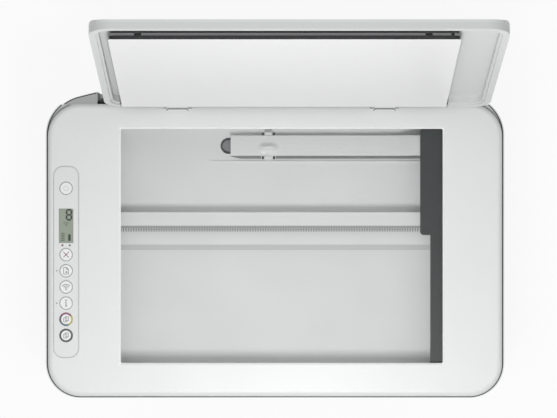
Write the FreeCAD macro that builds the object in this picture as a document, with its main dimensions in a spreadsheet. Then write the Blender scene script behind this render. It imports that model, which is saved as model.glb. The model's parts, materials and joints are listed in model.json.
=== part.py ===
import FreeCAD, Part
import Sketcher
import math
import os
import re

# All-in-one inkjet printer with a flatbed scanner, stored with its scanner lid open.
# Millimetres. X to the right, Y to the rear, Z up, origin under the middle of the stored part.

SIZES = {
    # outer case
    "case_margin": 128, "foot_height": 3, "tub_height": 19, "housing_height": 86,
    "scanner_height": 34, "lid_height": 12, "wall": 2.5, "front_corner": 32, "rear_corner": 38,
    "bow_depth": 31.36, "tub_edge": 14, "flange_width": 11, "flange_thickness": 3, "slack": 0.3,
    "foot_radius": 8, "foot_inset": 46, "screw_inset": 18, "screw_radius": 1.5, "screw_head": 3.5,
    "bore_clearance": 0.05,
    # scanner housing, glass and bed
    "rim_ledge": 3, "cover_height": 9, "seam_gap": 0.7, "seam_width": 1, "seam_depth": 2.4,
    "bezel_corner": 30, "bezel_edge": 4.5, "bezel_plate": 2.5, "bezel_skirt": 3,
    "hinge_setback": 33, "bezel_tail": 1, "glass_width": 297, "glass_depth": 216,
    "glass_shift": 6.2, "glass_inset": 33, "glass_to_axis": 22, "glass_bevel": 1.4,
    "glass_margin": 6, "glass_thickness": 3, "bed_wall": 2, "bed_floor": 2, "bed_gap": 3,
    "bed_front": 14, "bed_rear": 13, "runner_gap": 2, "bed_margin": 15.5, "ledge_height": 16,
    "ledge_depth": 12.5, "ledge_setback": 77, "track_drop": 5, "track_depth": 17.5,
    "groove_depth": 4.5,
    # scan carriage
    "bar_cover": 10.8, "shoulder_cover": 20.2, "bar_beyond": 11.3, "bar_corner": 3, "shoulder_depth": 98,
    "carriage_height": 9.5, "sensor_width": 8, "rack_module": 0.75, "scan_teeth": 14,
    "rack_short": 33, "rack_strip": 3, "ribbon_width": 18.9, "ribbon_setback": 5.5,
    "ribbon_start": 41.4, "ribbon_rise": 6, "clip_place": 6.2, "clip_half": 3.4, "clip_depth": 3,
    "clip_nose": 1, "clip_slot": 1.8, "ribbon_thickness": 0.4,
    # control panel
    "panel_width": 23.3, "panel_length": 176.5, "panel_inset": 5.2, "panel_reach": 271,
    "panel_setback": 56.5, "panel_thickness": 1.8, "panel_corner": 9, "button_radius": 5.5,
    "button_pitch": 14.9, "button_gap": 0.25, "power_setback": 76.8, "cancel_setback": 138,
    "display_width": 13, "display_corner": 2, "display_length": 31.4, "display_setback": 111.4,
    "button_proud": 0.5, "button_height": 6.4, "board_thickness": 1.6, "board_drop": 8,
    # lid
    "axis_rise": 4, "lid_lean": 12.8, "lid_gap": 5, "lid_short": 13, "lid_side_left": 15.3,
    "lid_side_right": 39.7, "lid_corner": 20, "lid_edge": 3, "lid_bevel": 3.5, "lid_crown": 17,
    "lid_rim": 8, "lid_step": 2.2, "lid_depth": 8.7, "pad_short": 1.9, "pad_over": 2.4,
    "pad_beyond": 8, "cushion_thickness": 2.2, "carrier_thickness": 2, "foam_thickness": 3.6,
    "film_thickness": 0.5, "hinge_left": 90, "hinge_right": 101, "knuckle_radius": 3.2,
    "knuckle_half": 9.5, "ear_width": 3, "pin_radius": 2, "bracket_depth": 6,
    # front door and output tray
    "opening_half": 140, "door_bottom": 63, "door_top": 103.6, "door_thickness": 5,
    "post_width": 6, "tray_half": 125, "tray_clear": 16, "tray_bottom": 9, "tray_thickness": 4,
    "tray_lip_height": 13, "lip_thickness": 4, "extender_half": 70, "extender_short": 12,
    "extender_thickness": 2, "rail_width": 4,
    # rear input tray
    "notch_inset": 46.5, "support_gap": 2.5, "shelf_height": 54, "support_thickness": 4,
    "support_height": 50, "support_tilt": 30, "slot_width": 6, "support_pin": 1.5,
    "extension_half": 58, "extension_height": 31, "extension_thickness": 2.4, "guide_inset": 45.5,
    "guide_height": 34, "guide_length": 16,
    # paper path and print carriage
    "paper_height": 42, "frame_thickness": 2.5, "frame_gap": 2.5, "shaft_radius": 3,
    "gear_module": 0.8, "gear_width": 6, "gear_gap": 2.5, "feed_setback": 120, "feed_tyre": 7,
    "feed_teeth": 32, "exit_setback": 176, "exit_tyre": 6, "exit_teeth": 28, "idler_teeth": 43,
    "pinion_teeth": 12, "pickup_teeth": 54, "pickup_rise": 11, "pickup_tyre": 14,
    "pinch_radius": 4, "star_radius": 4, "star_rod": 0.8, "pinch_rod": 1, "motor_radius": 12,
    "motor_length": 28, "motor_shaft": 1, "rail_setback": 106, "rail_sheet": 1.5,
    "rail_inset": 16.5, "pulley_inset": 10, "rail_top": 100, "rail_bottom": 55, "belt_height": 90,
    "belt_radius": 6, "belt_thickness": 0.8, "belt_width": 5, "cradle_width": 60,
    "cradle_park": 16, "cradle_front": 170, "cradle_split": 132, "cradle_bottom": 50,
    "cradle_top": 96, "cartridge_width": 25, "cartridge_height": 40, "cradle_wall": 2.4,
    "station_height": 38,
    # electronics
    "board_rise": 20, "supply_height": 40, "socket_height": 15, "socket_width": 22,
    "usb_width": 14, "socket_inset": 62.5,
}

LAYOUT = {
    "open_angle": "lid_lean * 1 deg",
    "body_width": "glass_width + case_margin",
    "body_depth": "glass_inset + glass_depth + glass_to_axis + hinge_setback",
    "lid_reach": "body_depth - hinge_setback - lid_short",
    "front_y": "-(body_depth - hinge_setback + lid_reach * sin(open_angle)"
               " + (lid_height - axis_rise - lid_bevel) * cos(open_angle)) / 2",
    "rear_y": "front_y + body_depth",
    "axis_y": "rear_y - hinge_setback",
    "tub_top": "foot_height + tub_height",
    "floor_z": "foot_height + wall",
    "housing_top": "tub_top + housing_height",
    "bezel_top": "housing_top + scanner_height",
    "axis_z": "bezel_top + axis_rise",
    "half_width": "body_width / 2",
    "rear_bow": "half_width^2 / (2 * bow_depth)",
    "bezel_half": "half_width - rim_ledge",
    "bezel_front": "front_y + rim_ledge - 0.5",
    "bezel_rear": "axis_y + bezel_tail",
    "plate_under": "bezel_top - bezel_plate",
    "glass_left": "glass_shift - glass_width / 2",
    "glass_right": "glass_shift + glass_width / 2",
    "glass_front": "front_y + glass_inset",
    "glass_rear": "glass_front + glass_depth",
    "glass_under": "plate_under - glass_thickness",
    "bed_left": "-panel_right - bed_gap",
    "bed_right": "bezel_half - bed_margin",
    "bed_z": "housing_top + bed_floor",
    "ledge_rear": "glass_rear - ledge_setback",
    "ledge_front": "ledge_rear - ledge_depth",
    "ledge_top": "bed_z + ledge_height",
    "track_z": "ledge_top - track_drop",
    "bar_left": "glass_right - bar_cover",
    "shoulder_left": "glass_right - shoulder_cover",
    "bar_right": "glass_right + bar_beyond",
    "scan_under": "ledge_top + slack",
    "scan_top": "scan_under + carriage_height",
    "scan_radius": "rack_module * scan_teeth / 2",
    "pinion_y": "ledge_front - rack_strip - scan_radius",
    "panel_left": "-half_width + rim_ledge + panel_inset",
    "panel_right": "panel_left + panel_width",
    "panel_x": "panel_left + panel_width / 2",
    "panel_line": "front_y + panel_reach",
    "panel_rear": "panel_line - panel_setback",
    "panel_floor": "bezel_top - panel_thickness",
    "board_top": "bezel_top - board_drop",
    "lid_left": "pad_left + lid_side_left",
    "lid_right": "pad_right + lid_side_right",
    "pad_left": "-glass_left - pad_short",
    "pad_right": "glass_right + pad_over",
    "pad_reach": "glass_depth + pad_beyond",
    "lid_under": "slack - axis_rise",
    "lid_floor": "lid_under + lid_depth",
    "tray_front": "front_y + 0.5",
    "tray_length": "body_depth - exit_setback - tray_clear",
    "extender_length": "tray_length - extender_short",
    "notch_half": "half_width - notch_inset",
    "support_half": "notch_half - support_gap",
    "guide_place": "support_half - guide_inset",
    "support_y": "bezel_rear + slot_width + support_thickness / 2",
    "support_z": "shelf_height + support_thickness / 2 + 1",
    "feed_y": "rear_y - feed_setback",
    "feed_z": "paper_height - feed_tyre",
    "exit_y": "rear_y - exit_setback",
    "exit_z": "paper_height - exit_tyre",
    "gear_right": "-frame_half - frame_thickness - gear_gap",
    "gear_left": "gear_right - gear_width",
    "feed_pitch": "gear_module * feed_teeth / 2",
    "exit_pitch": "gear_module * exit_teeth / 2",
    "idler_pitch": "gear_module * idler_teeth / 2",
    "pinion_pitch": "gear_module * pinion_teeth / 2",
    "pickup_pitch": "gear_module * pickup_teeth / 2",
    "drive_y": "feed_y + feed_pitch + pinion_pitch",
    "drive_z": "feed_z",
    "pickup_y": "drive_y + sqrt((pinion_pitch + pickup_pitch)^2 - pickup_rise^2)",
    "pickup_z": "drive_z + pickup_rise",
    "star_z": "exit_z + exit_tyre + slack + star_radius",
    "pinch_z": "feed_z + feed_tyre + slack + pinch_radius",
    "rail_y": "rear_y - rail_setback",
    "belt_y": "rail_y - 0.5 - belt_width",
    "cradle_y": "rear_y - cradle_front",
    "cradle_mid": "rear_y - cradle_split",
    "cradle_right": "rail_half - cradle_park",
    "cradle_left": "cradle_right - cradle_width",
    "frame_half": "cradle_left - frame_thickness - frame_gap",
    "rail_half": "half_width - rail_inset",
    "pulley_half": "rail_half - pulley_inset",
    "socket_place": "half_width - socket_inset",
    "board_z": "floor_z + board_rise",
}

doc = FreeCAD.newDocument("inkjet_printer")
sizes = doc.addObject("Spreadsheet::Sheet", "sizes")
for row, (name, number) in enumerate(SIZES.items(), start=1):
    sizes.set(f"A{row}", name)
    sizes.set(f"B{row}", str(number))
    sizes.setAlias(f"B{row}", name)
doc.recompute()

PIECES = {}


def formula(text):
    """Spell a layout formula out in the sheet's own sizes."""
    def spell(match):
        word = match.group(0)
        if word in LAYOUT:
            return "(" + formula(LAYOUT[word]) + ")"
        return "sizes." + word if word in SIZES else word
    return re.sub(r"[a-z][a-z_]*", spell, str(text))


def value(text):
    return float(sizes.evalExpression(formula(text)))


def bind(thing, prop, text):
    thing.setExpression(prop, formula(text))


def piece(label, shape):
    """Name a finished sub-part."""
    shape.Label = label
    PIECES[label] = shape
    return shape


# Plain solids and booleans
def block(x, y, z):
    """A box between two bounds on each axis."""
    box = doc.addObject("Part::Box", "block")
    for prop, axis, (low, high) in (("Length", "x", x), ("Width", "y", y), ("Height", "z", z)):
        bind(box, prop, f"({high}) - ({low})")
        bind(box, ".Placement.Base." + axis, low)
    return box


def rod(axis, at, radius, span):
    """A cylinder along an axis, through the point `at` on the other two axes."""
    bar = doc.addObject("Part::Cylinder", "rod")
    low, high = span
    bind(bar, "Radius", radius)
    bind(bar, "Height", f"({high}) - ({low})")
    turn = {"x": ((0, 1, 0), 90), "y": ((1, 0, 0), -90), "z": ((0, 0, 1), 0)}[axis]
    bar.Placement = FreeCAD.Placement(FreeCAD.Vector(), FreeCAD.Rotation(FreeCAD.Vector(*turn[0]), turn[1]))
    places = {"x": (low, *at), "y": (at[0], low, at[1]), "z": (*at, low)}[axis]
    for name, place in zip("xyz", places):
        bind(bar, ".Placement.Base." + name, place)
    return bar


def join(*shapes):
    if len(shapes) == 1:
        return shapes[0]
    whole = doc.addObject("Part::MultiFuse", "join")
    whole.Shapes = list(shapes)
    whole.Refine = True
    return whole


def group(*shapes):
    """Separate solids that share one node."""
    loose = doc.addObject("Part::Compound", "group")
    loose.Links = list(shapes)
    return loose


def cut(base, *tools):
    rest = doc.addObject("Part::Cut", "cut")
    rest.Base = base
    rest.Tool = join(*tools)
    rest.Refine = True
    return rest


# Sketched solids
def sketch_on(body, role, height):
    """A sketch on one of the body's origin planes, lifted along the plane's normal."""
    plane = next(item for item in body.Origin.OriginFeatures if item.Role == role)
    sketch = body.newObject("Sketcher::SketchObject", "sketch")
    sketch.AttachmentSupport = [(plane, "")]
    sketch.MapMode = "FlatFace"
    bind(sketch, ".AttachmentOffset.Base.z", height)
    return sketch


def fix(sketch, kind, *where, size):
    """Add one driving dimension and tie it to its formula."""
    index = sketch.addConstraint(Sketcher.Constraint(kind, *where, value(size)))
    sketch.renameConstraint(index, f"size{index}")
    bind(sketch, f"Constraints.size{index}", size)


def pad(body, sketch, length):
    feature = body.newObject("PartDesign::Pad", "pad")
    feature.Profile = sketch
    bind(feature, "Length", length)
    sketch.Visibility = False
    return feature


def line(sketch, start, end):
    return sketch.addGeometry(Part.LineSegment(FreeCAD.Vector(*start, 0), FreeCAD.Vector(*end, 0)))


def arc(sketch, centre, radius, first, last):
    circle = Part.Circle(FreeCAD.Vector(*centre, 0), FreeCAD.Vector(0, 0, 1), radius)
    return sketch.addGeometry(Part.ArcOfCircle(circle, math.radians(first), math.radians(last)))


def polygon(sketch, points):
    """A closed outline of straight runs through (first, second) formulas."""
    spots = [(value(first), value(second)) for first, second in points]
    edges = [line(sketch, spot, spots[(i + 1) % len(spots)]) for i, spot in enumerate(spots)]
    for i, edge in enumerate(edges):
        sketch.addConstraint(Sketcher.Constraint("Coincident", edge, 2, edges[(i + 1) % len(edges)], 1))
        fix(sketch, "DistanceX", -1, 1, edge, 1, size=points[i][0])
        fix(sketch, "DistanceY", -1, 1, edge, 1, size=points[i][1])


def rounded_rectangle(sketch, x, y, radius):
    """A rectangle with four equal round corners, tangent to its sides."""
    left, right = value(x[0]), value(x[1])
    front, rear = value(y[0]), value(y[1])
    r = value(radius)
    sides = [line(sketch, (left + r, front), (right - r, front)),
             line(sketch, (right, front + r), (right, rear - r)),
             line(sketch, (right - r, rear), (left + r, rear)),
             line(sketch, (left, rear - r), (left, front + r))]
    corners = [arc(sketch, (right - r, front + r), r, 270, 360),
               arc(sketch, (right - r, rear - r), r, 0, 90),
               arc(sketch, (left + r, rear - r), r, 90, 180),
               arc(sketch, (left + r, front + r), r, 180, 270)]
    for i in range(4):
        sketch.addConstraint(Sketcher.Constraint("Tangent", sides[i], 2, corners[i], 1))
        sketch.addConstraint(Sketcher.Constraint("Tangent", corners[i], 2, sides[(i + 1) % 4], 1))
        sketch.addConstraint(Sketcher.Constraint("Vertical" if i % 2 else "Horizontal", sides[i]))
        if i:
            sketch.addConstraint(Sketcher.Constraint("Equal", corners[0], corners[i]))
    fix(sketch, "Radius", corners[0], size=radius)
    fix(sketch, "DistanceX", -1, 1, sides[3], 1, size=x[0])
    fix(sketch, "DistanceX", -1, 1, sides[1], 1, size=x[1])
    fix(sketch, "DistanceY", -1, 1, sides[0], 1, size=y[0])
    fix(sketch, "DistanceY", -1, 1, sides[2], 1, size=y[1])


def case_outline(sketch, inset):
    """The case seen from above: straight front and sides, round corners and a bowed back."""
    half = value(f"half_width - ({inset})")
    front = value(f"front_y + ({inset})")
    near = value(f"front_corner - ({inset})")
    far = value(f"rear_corner - ({inset})")
    bow = value(f"rear_bow - ({inset})")
    bow_y = value("rear_y - rear_bow")
    far_x = half - far
    far_y = bow_y + math.sqrt((bow - far) ** 2 - far_x ** 2)
    lean = math.degrees(math.asin(far_x / (bow - far)))
    side_right = line(sketch, (half, front + near), (half, far_y))
    corner_right = arc(sketch, (far_x, far_y), far, 0, 90 - lean)
    back = arc(sketch, (0, bow_y), bow, 90 - lean, 90 + lean)
    corner_left = arc(sketch, (-far_x, far_y), far, 90 + lean, 180)
    side_left = line(sketch, (-half, far_y), (-half, front + near))
    near_left = arc(sketch, (near - half, front + near), near, 180, 270)
    face = line(sketch, (near - half, front), (half - near, front))
    near_right = arc(sketch, (half - near, front + near), near, 270, 360)
    loop = [side_right, corner_right, back, corner_left, side_left, near_left, face, near_right]
    for i, edge in enumerate(loop):
        sketch.addConstraint(Sketcher.Constraint("Tangent", edge, 2, loop[(i + 1) % 8], 1))
    sketch.addConstraint(Sketcher.Constraint("Vertical", side_right))
    sketch.addConstraint(Sketcher.Constraint("Vertical", side_left))
    sketch.addConstraint(Sketcher.Constraint("Horizontal", face))
    sketch.addConstraint(Sketcher.Constraint("Equal", near_left, near_right))
    sketch.addConstraint(Sketcher.Constraint("Equal", corner_left, corner_right))
    fix(sketch, "Radius", near_left, size=f"front_corner - ({inset})")
    fix(sketch, "Radius", corner_left, size=f"rear_corner - ({inset})")
    fix(sketch, "Radius", back, size=f"rear_bow - ({inset})")
    fix(sketch, "DistanceX", -1, 1, side_right, 1, size=f"half_width - ({inset})")
    fix(sketch, "DistanceX", -1, 1, side_left, 1, size=f"({inset}) - half_width")
    fix(sketch, "DistanceY", -1, 1, face, 1, size=f"front_y + ({inset})")
    fix(sketch, "DistanceX", -1, 1, back, 3, size="0")
    fix(sketch, "DistanceY", -1, 1, back, 3, size="rear_y - rear_bow")


def new_body(name):
    return doc.addObject("PartDesign::Body", name)


def case_solid(inset, low, high):
    body = new_body("case")
    sketch = sketch_on(body, "XY_Plane", low)
    case_outline(sketch, inset)
    pad(body, sketch, f"({high}) - ({low})")
    return body


def rounded_block(x, y, z, radius):
    body = new_body("rounded")
    sketch = sketch_on(body, "XY_Plane", z[0])
    rounded_rectangle(sketch, x, y, radius)
    pad(body, sketch, f"({z[1]}) - ({z[0]})")
    return body


def profile_along_x(points, x):
    """A side profile of (y, z) points carried across the width."""
    body = new_body("profile")
    sketch = sketch_on(body, "YZ_Plane", x[0])
    polygon(sketch, points)
    pad(body, sketch, f"({x[1]}) - ({x[0]})")
    return body


def plan_slab(points, z):
    """A plan outline of (x, y) points carried up."""
    body = new_body("slab")
    sketch = sketch_on(body, "XY_Plane", z[0])
    polygon(sketch, points)
    pad(body, sketch, f"({z[1]}) - ({z[0]})")
    return body


def soften(body, radius, wanted, kind="Fillet"):
    """Round or bevel the body's edges for which `wanted(edge)` holds."""
    doc.recompute()
    base = body.Tip
    names = [f"Edge{i}" for i, edge in enumerate(base.Shape.Edges, start=1) if wanted(edge)]
    feature = body.newObject("PartDesign::" + kind, "soften")
    feature.Base = (base, names)
    bind(feature, "Radius" if kind == "Fillet" else "Size", radius)
    return body


def level(z):
    """Edges that lie flat at one height."""
    height = value(z)
    return lambda edge: abs(edge.BoundBox.ZMin - height) < 1e-4 and abs(edge.BoundBox.ZMax - height) < 1e-4


def upright(x):
    """Vertical edges at one place across the width."""
    place = value(x)
    return lambda edge: (edge.BoundBox.ZLength > 1 and abs(edge.BoundBox.XMin - place) < 1e-4
                         and abs(edge.BoundBox.XMax - place) < 1e-4)


def both_sides(low, high):
    """The same span on the right and mirrored on the left."""
    return [(low, high), (f"-({high})", f"-({low})")]


def across(half):
    """A span centred on the middle plane."""
    return (f"-({half})", half)


def around(middle, half):
    return (f"({middle}) - ({half})", f"({middle}) + ({half})")


def on_lid(shape):
    """Turn a piece made about the hinge axis to where the open lid holds it."""
    shape.Placement.Rotation = FreeCAD.Rotation(FreeCAD.Vector(1, 0, 0), -90)
    bind(shape, ".Placement.Rotation.Angle", "-(90 + lid_lean) * 1 deg")
    bind(shape, ".Placement.Base.y", "axis_y")
    bind(shape, ".Placement.Base.z", "axis_z")
    return shape


def on_support(shape):
    """Turn a piece made about the input tray's pivot to the leaning tray's place."""
    shape.Placement.Rotation = FreeCAD.Rotation(FreeCAD.Vector(1, 0, 0), -30)
    bind(shape, ".Placement.Rotation.Angle", "-support_tilt * 1 deg")
    bind(shape, ".Placement.Base.y", "support_y")
    bind(shape, ".Placement.Base.z", "support_z")
    return shape


# Gears with short involute teeth
PRESSURE_ANGLE = math.radians(20)
ADDENDUM = 0.7
DEDENDUM = 0.95
TOOTH_PLAY = 0.1


def involute(radius, base):
    angle = math.acos(min(1.0, base / radius))
    return math.tan(angle) - angle


def gear_points(teeth, module, phase):
    """Outline of a gear about the origin, with a tooth centred at the angle `phase`."""
    pitch = module * teeth / 2
    base = pitch * math.cos(PRESSURE_ANGLE)
    root = pitch - DEDENDUM * module
    tip = pitch + ADDENDUM * module
    half_tooth = (math.pi / 2 - TOOTH_PLAY / module) / teeth + involute(pitch, base)
    start = max(base, root + 0.05)
    radii = [root] + [start + (tip - start) * step / 3 for step in range(4)]
    flank = [(radius, half_tooth - involute(max(radius, base), base)) for radius in radii]
    points = []
    for tooth in range(teeth):
        middle = phase + 2 * math.pi * tooth / teeth
        points += [(radius, middle - offset) for radius, offset in flank]
        points += [(radius, middle + offset) for radius, offset in reversed(flank)]
    return [(radius * math.cos(angle), radius * math.sin(angle)) for radius, angle in points]


def gear(teeth, module, phase, centre, span, axis):
    """A gear wheel whose axis is X (centre in y, z) or Z (centre in x, y)."""
    low, high = value(span[0]), value(span[1])
    spots = [(u + value(centre[0]), v + value(centre[1])) for u, v in gear_points(teeth, module, phase)]
    if axis == "x":
        corners = [FreeCAD.Vector(low, u, v) for u, v in spots]
        along = FreeCAD.Vector(high - low, 0, 0)
    else:
        corners = [FreeCAD.Vector(u, v, low) for u, v in spots]
        along = FreeCAD.Vector(0, 0, high - low)
    face = Part.Face(Part.makePolygon(corners + corners[:1]))
    wheel = doc.addObject("Part::Feature", "gear")
    wheel.Shape = face.extrude(along)
    return wheel


def meshing_phase(angle, phase, radius, other_radius, module):
    """Phase of a wheel that lies at `angle` from a wheel of known phase and runs in mesh with it."""
    return angle + math.pi - ((phase - angle) * radius + math.pi * module / 2) / other_radius


# Case: rubber feet, base tub, screws and the housing above it
FOOT_PLACES = [(x, y) for x in across("half_width - foot_inset")
               for y in ("front_y + foot_inset", "axis_y - foot_inset")]
SCREW_PLACES = [(x, y) for x in across("half_width - screw_inset")
                for y in ("front_y + 1.6 * foot_inset", "axis_y - foot_inset")]

piece("feet", group(*[rod("z", place, "foot_radius", ("0", "foot_height")) for place in FOOT_PLACES]))

tub_outside = soften(case_solid("0", "foot_height", "tub_top"), "tub_edge", level("foot_height"))
tub_inside = soften(case_solid("wall", "floor_z", "tub_top + wall"), "tub_edge - wall", level("floor_z"))
tray_slot = ("tray_bottom - slack", "tray_bottom + tray_thickness + slack")
rail_run = ("front_y + tub_edge + wall", "front_y + tray_length + rail_width")
rails = [cut(block(x, rail_run, ("floor_z", f"({tray_slot[1]}) + wall")),
             block(across("tray_half + slack"), around("0", "body_depth"), tray_slot))
         for x in both_sides("tray_half - rail_width", "tray_half + rail_width")]
bosses = [rod("z", place, "screw_head", ("floor_z", "tub_top - wall")) for place in SCREW_PLACES]
screw_holes = [rod("z", place, "screw_radius + bore_clearance", ("0", "tub_top - 2 * wall"))
               for place in SCREW_PLACES]
tub_mouth = block(across("opening_half"), ("front_y - wall", "front_y + tub_edge"),
                  ("tray_bottom - tray_thickness / 2", "tub_top + wall"))
piece("base_tub", cut(join(cut(tub_outside, tub_inside), *rails, *bosses), tub_mouth, *screw_holes))

screws = [join(rod("z", place, "screw_head", ("foot_height - 1", "foot_height")),
               rod("z", place, "screw_radius", ("foot_height - 1", "tub_top - 2 * wall - slack")))
          for place in SCREW_PLACES]
piece("housing_screws", group(*screws))

DOOR_AXIS = ("front_y + door_thickness / 2", "door_bottom + door_thickness / 2")
SUPPORT_AXIS = ("support_y", "support_z")
socket_span = ("board_z + board_thickness", "board_z + board_thickness + socket_height")
inlet_x = around("socket_place", "socket_width / 2")
usb_x = around("-socket_place", "usb_width / 2")
socket_back = "rear_y - hinge_setback - 3"
socket_face = "rear_y - hinge_setback + 13"

well = block(across("notch_half + wall"), ("bezel_rear + slot_width - 1", "rear_y + wall"),
             ("shelf_height - wall", "housing_top"))
cavity = cut(case_solid("wall", "tub_top - wall", "housing_top - flange_thickness"), well)
scanner_seat = rounded_block(across("bezel_half - flange_width"),
                             ("bezel_front + flange_width", "bezel_rear - flange_width"),
                             ("housing_top - 2 * flange_thickness", "housing_top + flange_thickness"),
                             "bezel_corner - flange_width")
notch = block(across("notch_half"), ("bezel_rear + slack", "rear_y + wall"),
              ("shelf_height", "housing_top + wall"))
front_mouth = block(across("opening_half"), ("front_y - wall", "front_y + 2 * wall"),
                    ("tub_top - wall", "door_top + slack"))
posts = [block(x, ("front_y + wall / 2", "front_y + door_thickness + rail_width"), ("tub_top", "door_top"))
         for x in both_sides("opening_half", "opening_half + post_width")]
door_bores = rod("x", DOOR_AXIS, "pin_radius + bore_clearance", across("opening_half + post_width - 1"))
support_bores = rod("x", SUPPORT_AXIS, "support_pin + bore_clearance", across("notch_half + 2 * wall"))
socket_holes = [block((f"({x[0]}) - slack", f"({x[1]}) + slack"), (socket_back, "rear_y + wall"),
                      (f"({socket_span[0]}) - slack",
                       f"({socket_span[1]}) + slack")) for x in (inlet_x, usb_x)]
hollow_case = cut(case_solid("0", "tub_top", "housing_top"), cavity, scanner_seat, notch, front_mouth,
                  *socket_holes)
piece("main_housing", cut(join(hollow_case, *posts), door_bores, support_bores))

# Front access door, turning on pins at its rounded lower edge
door_half = "opening_half - slack"
door_panel = block(across(door_half), ("front_y", "front_y + door_thickness"),
                   (DOOR_AXIS[1], "door_top - slack"))
door_hollow = block(across("opening_half - 2 * wall"), ("front_y + wall", "front_y + 2 * door_thickness"),
                    (f"{DOOR_AXIS[1]} + door_thickness", "door_top - 2 * wall"))
door_ribs = [block(around(place, "wall / 2"), ("front_y + wall / 2", "front_y + door_thickness"),
                   (DOOR_AXIS[1], "door_top - wall"))
             for place in ("-opening_half / 3", "opening_half / 3")]
door_roll = rod("x", DOOR_AXIS, "door_thickness / 2", across(door_half))
door_pins = rod("x", DOOR_AXIS, "pin_radius", across("opening_half + post_width - 1 - slack"))
piece("access_door", join(cut(door_panel, door_hollow), *door_ribs, door_roll, door_pins))

# Output tray and the extender that slides in it
lip_z = ("tray_bottom - 1", "tray_bottom - 1 + tray_lip_height")
tray_top = "tray_bottom + tray_thickness"
extender_z = (f"{tray_top} - extender_thickness", tray_top)
tray_plate = block(across("tray_half"), ("tray_front", "tray_front + tray_length"),
                   ("tray_bottom", tray_top))
tray_lip = block(across("opening_half - 2"), ("tray_front", "tray_front + lip_thickness"), lip_z)
extender_bay = block(across("extender_half + slack"),
                     ("tray_front - 1", "tray_front + extender_length + slack"),
                     (f"({extender_z[0]}) - slack", f"({extender_z[1]}) + slack"))
grip = rod("y", ("0", lip_z[1]), "tray_lip_height / 2",
           ("tray_front - 1", "tray_front + lip_thickness + 1"))
piece("output_tray", cut(join(tray_plate, tray_lip), extender_bay, grip))
extender = rounded_block(across("extender_half"), ("tray_front", "tray_front + extender_length"),
                         extender_z, "lip_thickness")
extender_slots = [block(around(place, "lip_thickness"),
                        ("tray_front + 30", "tray_front + extender_length - 20"),
                        (f"({extender_z[0]}) - 1", f"({extender_z[1]}) + 1"))
                  for place in ("-extender_half / 2", "0", "extender_half / 2")]
piece("output_extender", cut(extender, *extender_slots))

# Scanner bed under the glass, with its rack ledge, track and ribbon clips
bed_x = ("bed_wall - bed_left", "bed_right - bed_wall")
bed_y = ("glass_front - bed_front", "glass_rear + bed_rear")
bed_plate = rounded_block(across("bezel_half - bezel_skirt - slack"),
                          ("bezel_front + bezel_skirt + slack", "bezel_rear - bezel_skirt - slack"),
                          ("housing_top", "bed_z"), "bezel_corner - bezel_skirt")
bed_ring = cut(block(("-bed_left", "bed_right"), bed_y, ("bed_z", "glass_under - slack")),
               block(bed_x, (f"{bed_y[0]} + bed_wall", f"{bed_y[1]} - bed_wall"),
                     ("housing_top", "bezel_top")))
ledge = block(bed_x, ("ledge_front", "ledge_rear"), ("bed_z", "ledge_top"))
track = block(bed_x, ("ledge_front - track_depth", "ledge_front"), ("bed_z", "track_z"))
kerb = block(bed_x, ("ledge_front - track_depth - groove_depth", "ledge_front - track_depth"),
             ("bed_z", "bed_z + ledge_height / 3"))
front_runner = block(bed_x, (f"{bed_y[0]} + bed_wall", "glass_front - runner_gap"), ("bed_z", "ledge_top"))
rear_runner = block(bed_x, ("glass_rear + 1.5 * runner_gap", f"{bed_y[1]} - bed_wall"),
                    ("bed_z", "ledge_top"))
ribbon_y = ("glass_rear - ribbon_setback - ribbon_width", "glass_rear - ribbon_setback")
ribbon_z = ("bed_z + ribbon_rise", "bed_z + ribbon_rise + ribbon_thickness")
clip_spans = [(f"({ribbon_y[0]}) - clip_depth", f"({ribbon_y[0]}) - slack"),
              (f"({ribbon_y[1]}) + slack", f"({ribbon_y[1]}) + clip_depth")]
clip_posts = [block(around("-clip_place", "clip_half"), span, ("bed_z", f"({ribbon_z[1]}) + clip_nose"))
              for span in clip_spans]
clip_slots = [block(around(f"-clip_place {side} (clip_half + clip_slot)", "clip_slot / 2"), span,
                    ("housing_top - bed_wall", "bed_z + bed_wall")) for span in clip_spans for side in "+-"]
ribbon_rest = block(around("-clip_place", "2 * clip_half"),
                    (f"({ribbon_y[0]}) + clip_depth", f"({ribbon_y[1]}) - clip_depth"),
                    ("bed_z", f"({ribbon_z[0]}) - slack"))
bed_rib = block(("-ribbon_start - 20", "shoulder_left"), around(f"({ribbon_y[0]}) - 5", "0.5"),
                ("bed_z", "bed_z + 1.2"))
cable_hole = rod("z", ("-ribbon_start - 2", "glass_rear - ribbon_setback - ribbon_width / 2"),
                 "ribbon_width * 0.4",
                 ("housing_top - 1", "bed_z + 1"))
piece("scanner_base", cut(join(bed_plate, bed_ring, ledge, track, kerb, front_runner, rear_runner,
                               *clip_posts,
                               ribbon_rest, bed_rib), cable_hole, *clip_slots))

# Scan carriage with its sensor bar, driven along the rack by a pinion
scan_x = "(shoulder_left + bar_right) / 2"
scan_z = ("scan_under", "scan_top")
holder = soften(plan_slab([("bar_left", "glass_front - 4"), ("bar_right", "glass_front - 4"),
                           ("bar_right", "glass_rear + 6"), ("bar_left", "glass_rear + 6"),
                           ("bar_left", "glass_rear + 1"), ("shoulder_left", "glass_rear + 1"),
                           ("shoulder_left", "glass_rear - shoulder_depth"),
                           ("bar_left", "glass_rear - shoulder_depth")], scan_z),
                "bar_corner", upright("shoulder_left"))
sensor_x = ("bar_right - sensor_width - 2", "bar_right - 2")
sensor_z = ("scan_under + 3", "scan_top - 0.6")
sensor_bay = block(sensor_x, ("glass_front - 3", "glass_rear + 5"), ("scan_under + 3", "scan_top + 1"))
pinion_bore = rod("z", (scan_x, "pinion_y"), "pin_radius + bore_clearance",
                  ("scan_under - 1", "scan_under + 6"))
piece("scan_carriage", cut(holder, sensor_bay, pinion_bore))
piece("sensor_bar", block(sensor_x, ("glass_front - 3", "glass_rear + 5"), sensor_z))

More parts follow.
